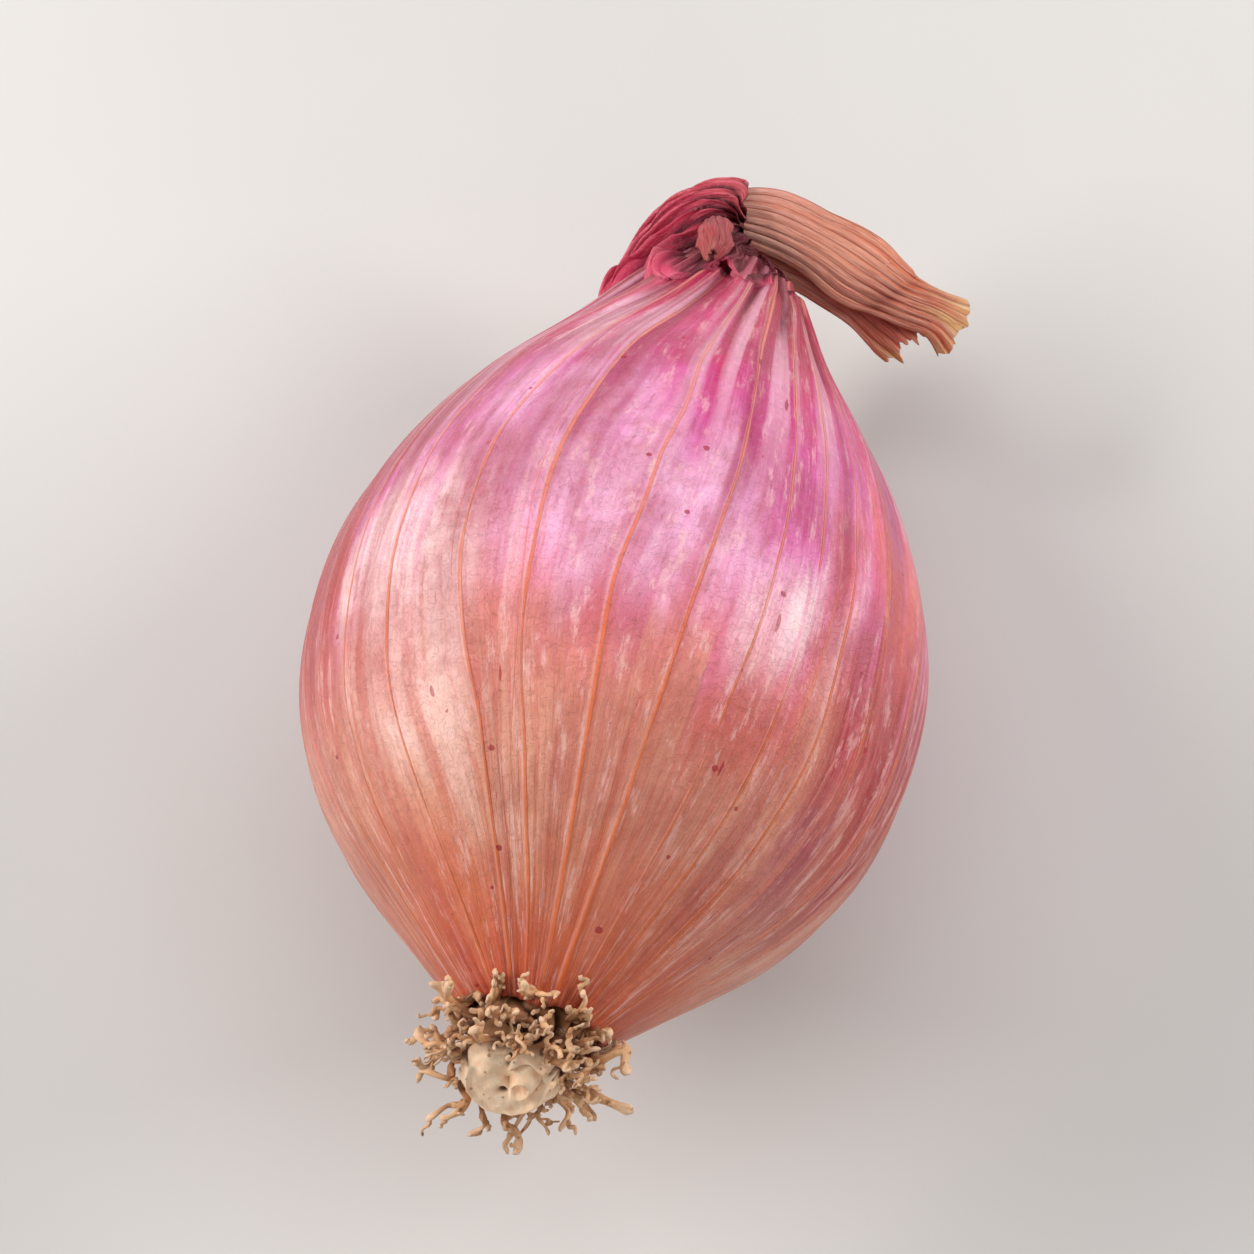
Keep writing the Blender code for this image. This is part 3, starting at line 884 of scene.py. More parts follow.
# %% Shape the neck
NECK = (  # side, beyond the neck, up, half width, half depth, in millimetres
    (-0.3, -4.6, 0.0, 7.75, 7.75),
    (-1.0, -2.4, 0.0, 7.05, 6.85),
    (-1.3, -0.3, 0.1, 5.95, 5.70),
    (-1.6, 1.5, 0.4, 4.85, 4.75),
    (-1.5, 3.0, 0.9, 4.10, 3.70),
    (-1.0, 4.3, 1.3, 3.30, 3.00),
    (-0.4, 5.0, 1.5, 2.60, 2.30),
    (0.5, 5.1, 1.4, 2.20, 1.90),
)
NECK_RINGS = 150
NECK_POINTS = 240
NECK_TURN = 1.3  # radians by which the pleats twist along the neck
FRONT_ANGLE = math.radians(92)  # round the neck to the side that shows its torn edge
BEND_ANGLE = math.radians(-20)  # to the inner side of the bend
HOLLOW_ANGLE = math.radians(40)  # to the dark hollow that the leaf ends come out of
INNER_COPIES = (0.92, 0.80, 0.60, 0.30)  # sizes of the rings that close the far end


def neck_shape():
    """Rings round the neck's path. The radius is the oval of the table, less the pleats and the
    accordion folds. The rings near both ends are moved along by a ragged amount: in front the
    first ones are torn unevenly and stand up in a lip, behind they sink into the skin."""
    place = np.linspace(0, 1, NECK_RINGS)
    around, along_path = np.meshgrid(TAU * np.arange(NECK_POINTS) / NECK_POINTS, place)
    front = np.clip(np.cos(around - FRONT_ANGLE), 0, 1) ** 2.0
    ragged = np.exp(-along_path / 0.07) * 0.034 * front * (0.9 + ripples(41, around, 0, 13, 1, 30))
    ragged = ragged - 0.035 * step(0.85, 1.0, along_path) * (1 + ripples(47, around, 0, 9, 1, 30))
    middle = follow(NECK, along_path + ragged)
    across, facing = cross_on(follow(NECK, place)[:, :3])
    width, depth = middle[..., 3], middle[..., 4]
    twist = around + NECK_TURN * along_path**2
    pleat_phase = 7.5 * twist + 2.8 * ripples(42, around, along_path, 3, 1.3)
    around = around + 0.07 * np.sin(2 * pleat_phase)  # the folds lean over each other
    pleat = np.abs(np.sin(pleat_phase)) ** 0.7
    thin_pleat = np.abs(np.sin(19 * twist + 1.5 * ripples(43, around, along_path, 4, 2.0)))
    inner = 0.5 + 0.5 * np.cos(around - BEND_ANGLE)
    middle_part = np.sin(math.pi * np.clip((along_path - 0.22) / 0.5, 0, 1)) ** 2
    accordion = np.abs(np.sin(TAU * 3.2 * along_path + 0.8 * ripples(44, around, along_path, 3, 2)))
    lip = np.exp(-along_path / 0.02)
    raised = (
        1.15 * (pleat - 0.75) * (0.25 + 0.75 * step(0.0, 0.15, along_path))
        * (1 + 0.45 * ripples(46, around, along_path, 3, 1.5))
        + 0.24 * (thin_pleat - 0.6)
        + 0.75 * inner**2 * middle_part * (accordion**0.7 - 0.8)
        - 0.55 * inner**3 * middle_part
        + 0.22 * lip * front * (1 + 0.6 * ripples(45, around, 0, 9, 1))
        + 0.30 * front * np.exp(-along_path / 0.25)
        - 1.25 * (1 - front) * np.exp(-along_path / 0.13)
    ) * np.clip(width / 4, 0.45, 1.2)
    point = (
        middle[..., :3]
        + across[:, None] * ((width + raised) * np.cos(around))[..., None]
        + facing[:, None] * ((depth + raised) * np.sin(around))[..., None]
    )
    # Painted shade: crease is deepest in pleat valleys, on the inner bend and towards the hollow.
    hollow = (0.5 + 0.5 * np.cos(around - HOLLOW_ANGLE)) ** 5 * step(0.0, 0.12, along_path)
    crease = np.clip(1.15 - pleat - 0.3 * thin_pleat, 0, 1) + 0.8 * inner**3 * middle_part + hollow
    return point, along_path, around, crease


def turn_in(rings, *fields):
    """Closes the last ring by turning the wall in: smaller copies of it, each further back."""
    centre, back_along = rings[-1].mean(0), unit(rings[-6].mean(0) - rings[-1].mean(0))
    inside = np.stack([
        centre + share * (rings[-1] - centre) + 0.8 * (1 - share) * 3.0 * back_along
        for share in INNER_COPIES])
    extra = [(0, len(INNER_COPIES)), (0, 0)]
    return np.concatenate([rings, inside]), [np.pad(f, extra, mode="edge") for f in fields]


def beyond_neck(points):
    """From (side, beyond the neck, up) in millimetres to the place on the table."""
    side, station, up = np.moveaxis(points * MM, -1, 0)
    return lie_down(side, BULB_LENGTH + station, up)


neck_rings, neck_along, neck_around, neck_crease = neck_shape()
neck_rings, (neck_along, neck_around, neck_crease) = turn_in(
    neck_rings, neck_along, neck_around, neck_crease)
leaf_turn = neck_around + NECK_TURN * neck_along**2
neck_fibre = np.stack([np.cos(leaf_turn), np.sin(leaf_turn), neck_along], -1)
# The turned-in rings at the far end, which the finish paints nearly black as shade.
far_end = np.clip((np.arange(len(neck_rings)) - NECK_RINGS + 3) / 4, 0, 1)
neck_fields = dict(
    fibre=neck_fibre, crease=neck_crease, hollow=far_end[:, None] * np.ones(NECK_POINTS))
neck_mesh = solid("withered_neck", beyond_neck(neck_rings), neck_fields)

# %% [markdown]
# ## The neck's colour
# The pigment is strongest here: deep crimson. The creases are painted nearly black as shade, and so
# is the turned-in far end. The tops of the folds are pink, partly because the skin is rubbed and
# bleached there and partly as a painted highlight. The crease depth was stored with the shape, so
# the finish only has to read it. Crumpled skin has no gloss left, so the roughness is higher than
# on the bulb.

# %% The neck's finish
neck_finish, web, shader = new_finish("crimson neck", Coat_Weight=0.06, Coat_Roughness=0.4)
fibre = web.field("fibre", vector=True)
body = web.put("TexCoord").outputs["Object"]
fibres = web.group(DRY_FIBRES, {"Place": fibre, "Fineness": 9.0, "Length": 0.35})
fine_fibres = web.group(DRY_FIBRES, {"Place": fibre, "Fineness": 26.0, "Length": 0.25})
paper = web.group(PAPERY_GRAIN, {"Place": body, "Size": 1500.0})
along_neck = web.put("SeparateXYZ", {0: fibre}).outputs[2]
lighter_or_darker = web.minus(web.noise(body, 260.0), 0.5)
cloudy = web.plus(along_neck, web.times(lighter_or_darker, 0.30))
colour = web.ramp(
    cloudy,
    (0.00, (208, 60, 104)),
    (0.20, (192, 38, 80)),
    (0.65, (190, 44, 76)),
    (0.85, (196, 66, 80)),
    last=(1.00, (206, 88, 92)),
)
# Pink on the tops of the folds: partly rubbed, bleached skin and partly a painted highlight.
rubbed_and_lit_fold_tops = web.times(web.step(web.field("crease"), 0.35, 0.02), 0.55)
colour = web.over(
    colour,
    (web.times(rubbed_and_lit_fold_tops, fibres["Streaks"]), (232, 132, 146)),
    (web.times(fine_fibres["Streaks"], 0.25), (214, 92, 104)),
    # painted shade, nearly black in the creases
    (web.step(web.field("crease"), 0.20, 0.95, 0.0, 0.92), (76, 8, 24)),
    (web.times(paper["Crackle"], 0.15), (226, 150, 140)),
    # painted shade inside the turned-in far end
    (web.field("hollow"), (48, 14, 14)),
)
web.feed(colour, shader["Base Color"])
web.feed(web.step(fibres["Streaks"], 0.0, 1.0, 0.58, 0.46), shader["Roughness"])
height = web.add_up(
    (fibres["Streaks"], 1.0), (fine_fibres["Streaks"], 0.5), (paper["Mottle"], 0.3))
relief(web, shader, height, 0.10 * MM)
add_piece("withered_neck", neck_mesh, neck_finish, "crimson_neck", "neck_knot")

# %% [markdown]
# ## The dry leaf ends
# Two torn straps of leaf come out of the neck and curl down to the side, and a small flake of skin
# hangs over the neck. Each is a sheet of paper: a grid that follows a path, with a width that
# changes along it. Ridges run its length, one per vein. The sheet arches across, rolls up towards
# its end, and pinches where it was squeezed. Its end is torn between the fibres, so the grid's
# last row is pulled back by a jagged amount. Solidify then gives it the thickness of dry leaf.

# %% Shape the leaf ends
STRAP = (  # side, beyond the neck, up, half width, in millimetres
    (-0.3, 5.3, 1.6, 1.75),
    (2.6, 5.3, 1.5, 2.10),
    (5.8, 4.7, 0.9, 2.30),
    (9.0, 3.8, 0.0, 2.25),
    (11.8, 3.3, -1.0, 1.95),
    (14.2, 3.6, -2.2, 2.15),
    (16.3, 3.7, -3.6, 2.85),
)
TONGUE = (
    (1.5, 4.1, -0.3, 1.20),
    (5.2, 3.5, -1.0, 1.40),
    (8.6, 3.0, -1.9, 1.60),
    (11.4, 2.3, -3.0, 2.00),
    (13.6, 1.4, -4.6, 2.10),
)
FLAKE = (
    (-1.1, 2.2, 4.0, 1.10),
    (-0.8, 0.3, 6.0, 1.15),
    (-0.5, -1.6, 7.1, 1.00),
    (-0.4, -3.5, 7.9, 0.15),
)
LEAF_ROWS, LEAF_COLUMNS = 110, 72
LEAF_THICKNESS = 0.16 * MM
PATH_SAMPLES = 200
PINCHED_AT = 0.64  # the share of a leaf's length where it was squeezed


def teeth(seed, across, count, depth):
    """A torn edge: how far each place across is pulled back, from 0 to depth. Saw teeth of random
    length, with finer ones on them."""
    draw = np.random.default_rng(seed)
    marks = np.linspace(-1, 1, count)
    coarse = np.interp(across, marks, draw.uniform(0, 1, count))
    fine = np.interp(across, np.linspace(-1, 1, 3 * count), draw.uniform(0, 1, 3 * count))
    return depth * (0.65 * coarse + 0.35 * fine)


def leaf_shape(sections, seed, ridges, arch, roll, teeth_depth, pinched, redness):
    """A grid of (side, beyond the neck, up). s runs across the leaf from -1 to 1 and t along it.
    The point is the path at t, plus s half widths across, bent onto a circle whose angle grows by
    roll towards the end, plus the ridges, the arch, slow waves and a sharp dip where the leaf is
    pinched, all in the facing direction. redness is how much of the neck's crimson it keeps."""
    rows, columns = np.linspace(0, 1, LEAF_ROWS), np.linspace(-1, 1, LEAF_COLUMNS)
    t, s = np.meshgrid(rows, columns, indexing="ij")
    reach = t * (1 - teeth(seed, s, 11, teeth_depth) * step(0.5, 1.0, t))
    fine_path = follow(sections, np.linspace(0, 1, PATH_SAMPLES))
    across, facing = cross_on(fine_path[:, :3])
    at = reach * (PATH_SAMPLES - 1)

    def pick(grid):
        """Reads a table of the fine path at every point of the leaf."""
        samples = np.arange(PATH_SAMPLES)
        return np.stack([np.interp(at, samples, column) for column in grid.T], -1)

    middle, across, facing = pick(fine_path), pick(across), pick(facing)
    waves = ripples(seed + 1, 1.5 * s, reach, 2, 2.2, 12)
    half = middle[..., 3] * (1 + 0.07 * ripples(seed + 2, s * 0, reach, 1, 4, 12))
    bend = roll * step(0.55, 1.0, reach) * (s < 0) * s**2
    flat = half * s
    rolled_across = np.where(bend > 0, half * np.sin(bend) / np.maximum(bend, 1e-6) * s, flat)
    rolled_up = np.where(bend > 0, half * s * (1 - np.cos(bend)) / np.maximum(bend, 1e-6), 0)
    ridge = np.abs(np.sin(0.5 * math.pi * ridges * (s + 1) + 0.5 * waves))
    fine_ridge = np.abs(np.sin(1.9 * math.pi * ridges * (s + 1) + waves))
    pinch = pinched * np.exp(-(((reach + 0.07 * s - PINCHED_AT) / 0.045) ** 2))
    lift = (arch * (1 - s**2) + 0.11 * (ridge - 0.6) + 0.05 * fine_ridge - 0.45 * pinch
            + 0.34 * waves * step(0.1, 0.5, reach))
    point = (middle[..., :3] + across * rolled_across[..., None]
             + facing * (lift + rolled_up)[..., None])
    fibre = np.stack([s * 1.2, np.zeros_like(s) + seed, reach], -1)
    crease = np.clip(1 - ridge + 0.45 * pinch, 0, 1)
    return point, dict(fibre=fibre, crease=crease, along=reach, redness=redness + 0 * reach)


def add_leaf(name, node, sections, **shape):
    """Shapes a leaf end, gives it its thickness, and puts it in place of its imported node."""
    points, fields = leaf_shape(sections, **shape)
    leaf_mesh = sheet(name, beyond_neck(points), fields)
    piece = add_piece(name, leaf_mesh, leaf_finish, "withered_leaf", node)
    wall = piece.modifiers.new("leaf thickness", "SOLIDIFY")
    wall.thickness, wall.offset = LEAF_THICKNESS, 0.0


# %% [markdown]
# ## The leaf ends' colour
# These are the driest parts: salmon and straw, with golden frayed fibres at the torn end, and brown
# painted as shade between the ridges and at the pinch. Next to the neck they still have some
# crimson. Again one number, the place along the leaf, drives most of it.

# %% The leaf ends' finish
leaf_finish, web, shader = new_finish(
    "withered leaf",
    Subsurface_Weight=0.08, Subsurface_Radius=(0.002, 0.001, 0.0006), Subsurface_Scale=0.5,
)
fibre = web.field("fibre", vector=True)
body = web.put("TexCoord").outputs["Object"]
fibres = web.group(DRY_FIBRES, {"Place": fibre, "Fineness": 16.0, "Length": 0.16})
fine_fibres = web.group(DRY_FIBRES, {"Place": fibre, "Fineness": 48.0, "Length": 0.10})
paper = web.group(PAPERY_GRAIN, {"Place": body, "Size": 1300.0})
reach = web.field("along")
along_leaf = web.plus(reach, web.times(web.minus(fibres["Bands"], 0.5), 0.25))
colour = web.ramp(
    along_leaf,
    (0.00, (244, 142, 128)),
    (0.10, (252, 164, 146)),
    (0.50, (248, 146, 112)),
    (0.80, (232, 102, 50)),
    last=(1.00, (250, 190, 112)),
)
stains = web.noise(web.stretch(fibre, (1.0, 1.0, 0.7)), 6.0, detail=4.0, roughness=0.65)
spots = web.group(SPECKS, {"Place": body, "Spacing": 900.0, "Kept": 0.06, "Radius": 0.3})
colour = web.over(
    colour,
    (web.times(fibres["Streaks"], 0.50), (255, 216, 196)),
    (web.step(stains, 0.50, 0.66, 0.0, 0.50), (190, 74, 44)),
    (web.field("redness"), (188, 52, 82)),
    # painted shade, brown between the ridges and at the pinch
    (web.step(web.field("crease"), 0.50, 1.0, 0.0, 0.55), (168, 52, 36)),
    (web.step(fine_fibres["Streaks"], 0.25, 0.0, 0.0, 0.28), (166, 66, 50)),
    (web.times(spots["Mask"], 0.5), (120, 44, 34)),
)
web.feed(colour, shader["Base Color"])
web.feed(web.step(fibres["Streaks"], 0.0, 1.0, 0.62, 0.50), shader["Roughness"])
height = web.add_up(
    (fibres["Streaks"], 1.0), (fine_fibres["Streaks"], 0.6), (paper["Mottle"], 0.3))
relief(web, shader, height, 0.09 * MM)

# %% Add the leaf ends
add_leaf("leaf_strap_dry", "leaf_strap", STRAP, seed=51, ridges=8, arch=0.80, roll=2.4,
         teeth_depth=0.08, pinched=1.0, redness=0.0)
# The tongue's little crimson also darkens it: painted shade, where it lies under the strap.
add_leaf("leaf_tongue_dry", "leaf_torn", TONGUE, seed=61, ridges=6, arch=0.35, roll=0.5,
         teeth_depth=0.16, pinched=0.0, redness=0.18)
add_leaf("skin_flake_dry", "skin_flake", FLAKE, seed=71, ridges=5, arch=0.60, roll=1.9,
         teeth_depth=0.12, pinched=0.4, redness=0.75)

# %% [markdown]
# ## The root plate
# The roots grow from a short woody stem. Its end is a pale corky disc, scalloped where old roots
# broke off, with a curl of dead tissue on it. It is a profile turned round the axis: up the side,
# over the edge and in to the middle. Uneven flutes on the side, and lumps, a groove, a slit and a
# scar on the face, are added as offsets along the radius and the axis.

# %% Shape the root plate
PLATE_PROFILE = (  # radius, station, in millimetres, from the foot in the hollow to the middle
    (3.10, 0.90),
    (3.50, 0.10),
    (3.45, -0.80),
    (3.10, -1.70),
    (2.80, -2.50),
    (2.78, -3.10),
    (2.60, -3.55),
    (2.10, -3.78),
    (1.20, -3.86),
    (0.10, -3.80),
)
PLATE_RINGS, PLATE_POINTS = 110, 150
ROOT_LEAN = 0.20  # sideways per unit of length
CURL = (1.0, 0.55)  # side and up to the middle of the curl on the plate's face, millimetres


def leaned(side, station):
    """The root end grew a little to one side: the further out a point is, the more it is moved."""
    return side + ROOT_LEAN * np.minimum(station, 0)


def plate_shape():
    """The profile turned round the axis. The side gets flutes of uneven width and depth, and the
    face a raised border, a curl (a ring ridge with a gap) in a groove, two lumps, a slit and a
    scar. Each is a bell curve of the distance from its middle. The face tips a little upwards."""
    place = np.linspace(0, 1, PLATE_RINGS)
    around, _ = np.meshgrid(TAU * np.arange(PLATE_POINTS) / PLATE_POINTS, place)
    profile = follow(PLATE_PROFILE, place)
    radius, station = profile[:, :1], profile[:, 1:]
    side_wall = step(0.02, 0.2, place)[:, None] * step(0.75, 0.5, place)[:, None]
    flutes = np.abs(np.sin(8 * around + 2.4 * ripples(81, around, place[:, None], 4, 1.5))) ** 0.6
    depth = step(-0.9, 0.9, ripples(86, around, place[:, None], 5, 1.5))
    flutes = 1 - (1 - flutes) * depth
    radius = radius * (1 + side_wall * (0.30 * (flutes - 0.8) + 0.07 * ripples(
        82, around, place[:, None], 7, 3)))
    x, z = radius * np.cos(around), radius * np.sin(around)
    face = step(2.6, 2.3, radius) * (station < -3)
    curl_away = np.hypot(x - CURL[0], z - CURL[1])
    curl_turn = np.arctan2(z - CURL[1], x - CURL[0])
    curl = np.exp(-(((curl_away - 0.62 + 0.06 * curl_turn) / 0.17) ** 2))
    curl = curl * step(-2.9, -2.0, curl_turn)
    lumps = 0.30 * np.exp(-((x + 1.2) ** 2 + (z - 1.1) ** 2) / 0.35)
    lumps += 0.22 * np.exp(-((x - 0.2) ** 2 + (z - 1.5) ** 2) / 0.18)
    scar = 0.35 * np.exp(-((x + 0.1) ** 2 / 0.10 + (z + 0.6) ** 2 / 0.05))
    border = 0.34 * np.exp(-(((radius - 2.35) / 0.22) ** 2)) * (0.6 + 0.5 * ripples(
        83, around, place[:, None], 6, 0))
    grain = 0.05 * ripples(84, 2 * x, z / 3, 3, 3, 40)
    groove = np.exp(-(((curl_away - 1.02) / 0.11) ** 2)) * step(2.9, 2.2, curl_turn)
    slit = np.exp(-((x + 0.15) ** 2 / 0.03 + (z - 1.75) ** 2 / 0.35))
    relief_here = face * (
        0.75 * curl + 1.5 * lumps - scar - 0.35 * groove - 0.5 * slit + border + grain)
    station = station - relief_here + 0.42 * z * step(-1.0, -3.0, station)
    # Painted shade: the finish darkens the flute valleys, the pits, and the side wall the deeper it
    # lies.
    valleys = (1 - flutes) * side_wall
    pits = np.clip(scar * 2 + 0.3 * groove + 0.6 * slit + valleys, 0, 1)
    depth_in = np.clip((station + 3.2) / 3.5, 0, 1)
    return np.stack([x, station, z], -1), np.clip(pits * face + valleys, 0, 1), depth_in


plate_points, plate_pits, plate_depth = plate_shape()
side, station, up = np.moveaxis(plate_points * MM, -1, 0)
side = leaned(side, station)
plate_fields = dict(crease=plate_pits, shaded=plate_depth)
plate_mesh = solid("corky_root_plate", lie_down(side, station, up), plate_fields)

# %% [markdown]
# ## Rootlets
# A bunch of dried rootlets stands out round the plate like a crown. Each one started straight, and
# bent and curled as it dried, so its line is made the way it grew: at every step it heads a little
# further outwards, plus a smooth random turn. Adding up the steps gives the line. Where a line
# would run into the bulb, it is pushed out to lie on it. The rootlets fork several times, so each
# piece is a main tube with five thinner ones that start on it. One rootlet dried straight and
# stands out further than the rest. All forty-two are computed together, as one block of numbers.

# %% Shape the rootlets
ROOT_RINGS = (  # how many, foot station, foot radius, outward pull, length, thickness, millimetres
    (11, 0.9, 3.25, 0.50, 5.2, 0.66),
    (14, -0.8, 3.1, 0.80, 4.9, 0.60),
    (17, -2.3, 2.75, 1.20, 4.2, 0.54),
)
FORKS = (  # where on the rootlet each lies, in shares of its length
    (0.10, 0.25), (0.25, 0.40), (0.40, 0.55), (0.55, 0.70), (0.72, 0.88))
ROOT_STATIONS = 34
ROOT_SIDES = 9
ROOT_FLATNESS = 0.6
ROOT_CURL, FORK_CURL = 1.35, 1.3
LONG_ROOT_ANGLE = 6.1  # radians round the plate to the one rootlet that dried straight
LONG_ROOT = (5.2, -0.9, -0.1)  # from its foot to its tip, millimetres
LONG_ROOT_THICKNESS = 0.8


def wandering_lines(draw, feet, headings, pulls, lengths, curl, stations):
    """Lines that grow step by step. Each step heads along the start heading, which fades, plus the
    pull, which grows, plus curl times a smooth noise of three sine waves. The steps are summed."""
    t = np.linspace(0, 1, stations)[None, :, None]
    waves = draw.uniform(0.5, 2.2, (3, len(feet), 1, 3))
    phases = draw.uniform(0, TAU, (3, len(feet), 1, 3))
    noise = np.sin(TAU * waves * t + phases).sum(0) / 1.7
    heading = unit(
        headings[:, None] * (1 - 0.6 * t) + pulls[:, None] * t + curl * noise * (0.3 + t))
    steps = heading * (lengths / stations)[:, None, None]
    return feet[:, None] + np.cumsum(steps, axis=1) - steps[:, :1]


def clear_of_bulb(lines, gap):
    """Pushes points away from the axis to just outside the bulb where they were inside its skin."""
    side, station, up = np.moveaxis(lines, -1, 0)
    away = np.hypot(side, up)
    share = np.clip(station * MM / BULB_LENGTH, 0, 0.3)
    needed = bulb_radius(share) / MM + gap
    outside = (station > -0.2) & (away > 3.7)
    grow = np.where(outside, np.maximum(away, needed) / np.maximum(away, 1e-6), 1.0)
    return np.stack([side * grow, station, up * grow], -1)


def root_radii(draw, thickness, stations):
    """Half the thickness along each line: lumpy, thinner towards the end, with a blunt knob."""
    t = np.linspace(0, 1, stations)
    shape = 1.10 - 0.45 * t + 0.14 * np.exp(-(((t - 0.93) / 0.05) ** 2))
    lumps = np.sin(TAU * draw.uniform(2, 5, (len(thickness), 1)) * t + draw.uniform(
        0, TAU, (len(thickness), 1)))
    ends = np.sqrt(np.clip((1 - t) / 0.04, 0.04, 1))
    return 0.5 * thickness[:, None] * shape * (1 + 0.16 * lumps) * ends


def grow_roots():
    """The lines and radii of every rootlet, and of the side rootlets at each of its five forks.
    Those under the plate hang further out, and those above it bend up towards the bulb."""
    draw = np.random.default_rng(4)
    rows = np.concatenate([
        [(TAU * (place + ring / 2) / count, *row) for place in range(count)]
        for ring, (count, *row) in enumerate(ROOT_RINGS)])
    angle, foot_station, foot_radius, pull, length, thick = rows.T
    angle = angle + draw.uniform(-0.16, 0.16, len(angle)) + 0.35 * np.cos(angle)
    outward = np.stack([np.cos(angle), np.zeros_like(angle), np.sin(angle)], -1)
    feet = outward * foot_radius[:, None] + np.stack([0 * angle, foot_station, 0 * angle], -1)
    headings = outward * (pull * 0.5)[:, None] + np.array([0, -1.0, 0])
    pulls = outward * 1.5 + np.array([0, 0.15, 0])
    beneath = np.clip(-np.sin(angle), 0, 1)
    length = length * draw.uniform(0.75, 1.25, len(length)) * (1 + 0.30 * beneath)
    pulls[:, 1] -= 0.9 * beneath
    above = np.clip(np.sin(angle), 0, 1)
    length *= 1 - 0.22 * above
    headings += outward * (0.7 * above)[:, None]
    pulls[:, 1] += 0.5 * above
    lines = wandering_lines(draw, feet, headings, pulls, length, ROOT_CURL, ROOT_STATIONS)
    # Only the last row counts here: the 9 puts the others behind it.
    straight = np.argmin(np.abs(angle % TAU - LONG_ROOT_ANGLE) + 9 * (foot_station > -2))
    lines[straight] = feet[straight] + np.linspace(0, 1, ROOT_STATIONS)[:, None] * LONG_ROOT
    lines = clear_of_bulb(lines, 0.35)
    thick = thick * draw.uniform(0.8, 1.2, len(thick))
    thick[straight] = LONG_ROOT_THICKNESS
    radii = root_radii(draw, thick, ROOT_STATIONS)
    branches = []
    every = np.arange(len(lines))
    half_as_many = ROOT_STATIONS // 2
    for low, high in FORKS:
        start = (draw.uniform(low, high, len(lines)) * ROOT_STATIONS).astype(int)
        foot, before = lines[every, start], lines[every, start - 2]
        sideways = unit(np.cross(unit(foot - before), draw.normal(size=foot.shape)))
        heading = unit(foot - before) + 1.1 * sideways
        size = draw.uniform(0.9, 2.1, len(lines))
        size[straight] = 0.5
        line = clear_of_bulb(wandering_lines(
            draw, foot, heading, outward * 0.8, size, FORK_CURL, half_as_many), 0.3)
        branches.append((line, root_radii(draw, 0.72 * 2 * radii[every, start], half_as_many)))
    return [(lines, radii), *branches]


def add_rootlets(finish):
    """Each rootlet with its side rootlets as one mesh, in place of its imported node."""
    blocks = [tubes(lines, radii, ROOT_SIDES, ROOT_FLATNESS) for lines, radii in grow_roots()]
    turn = TAU * np.arange(ROOT_SIDES) / ROOT_SIDES
    for number in range(len(blocks[0])):
        merged = bmesh.new()
        for part, rings in enumerate(blocks):
            side, station, up = np.moveaxis(rings[number] * MM, -1, 0)
            side = leaned(side, station)
            # Side rootlets have the colours of the outer half.
            t = np.linspace(0.0 if part == 0 else 0.5, 1, rings.shape[1])[:, None]
            fibre = np.stack(np.broadcast_arrays(
                np.cos(turn) * 0.3 + number, np.sin(turn) * 0.3, t * 2), -1)
            fields = dict(along=t + 0 * turn, fibre=fibre)
            points = rest_on_table(lie_down(side, station, up))
            tube = solid("part", points, fields, strip=(part, len(blocks)))
            merged.from_mesh(tube)
            bpy.data.meshes.remove(tube)
        mesh = bpy.data.meshes.new(f"rootlet_{number + 1:02d}")
        merged.to_mesh(mesh)
        merged.free()
        add_piece(mesh.name, mesh, finish, "dry_root", f"root_{number + 1:02d}")


# %% [markdown]
# ## Cork and root colours
# Both are the same dead tissue, straw where light and air reached it. The dark brown in the gaps
# is painted shade, partly with the soil stain that stays there. The plate reads how deep a point
# lies, and a rootlet reads how far it is from its foot: the deeper, the darker.

# %% The plate's and rootlets' finishes
plate_finish, web, shader = new_finish("pale cork")
body = web.put("TexCoord").outputs["Object"]
paper = web.group(PAPERY_GRAIN, {"Place": body, "Size": 2200.0})
pores = web.group(SPECKS, {"Place": body, "Spacing": 2600.0, "Kept": 0.25, "Radius": 0.35})
grain = web.noise(body, 1500.0, detail=5.0)
colour = web.ramp(grain, (0.25, (244, 196, 154)), last=(0.75, (255, 230, 198)))
colour = web.over(
    colour,
    (web.times(paper["Crackle"], 0.30), (236, 214, 180)),
    (web.times(pores["Mask"], 0.55), (118, 78, 46)),
    # painted shade: the side wall darker the deeper it lies, filling the gaps between the rootlets
    (web.step(web.field("shaded"), 0.0, 0.30, 0.0, 0.95), (134, 84, 46)),
    # painted shade in the pits, the groove, the slit, the scar and between the flutes
    (web.step(web.field("crease"), 0.12, 0.55, 0.0, 0.92), (60, 30, 14)),
)
web.feed(colour, shader["Base Color"])
web.feed(web.step(grain, 0.3, 0.7, 0.9, 0.7), shader["Roughness"])
relief(web, shader, web.plus(grain, web.times(pores["Mask"], -0.6)), 0.16 * MM)

root_finish, web, shader = new_finish("dry root")
body = web.put("TexCoord").outputs["Object"]
fibre = web.field("fibre", vector=True)
fibres = web.group(DRY_FIBRES, {"Place": fibre, "Fineness": 9.0, "Length": 0.4})
grain = web.noise(body, 1300.0, detail=4.0)
reach = web.field("along")
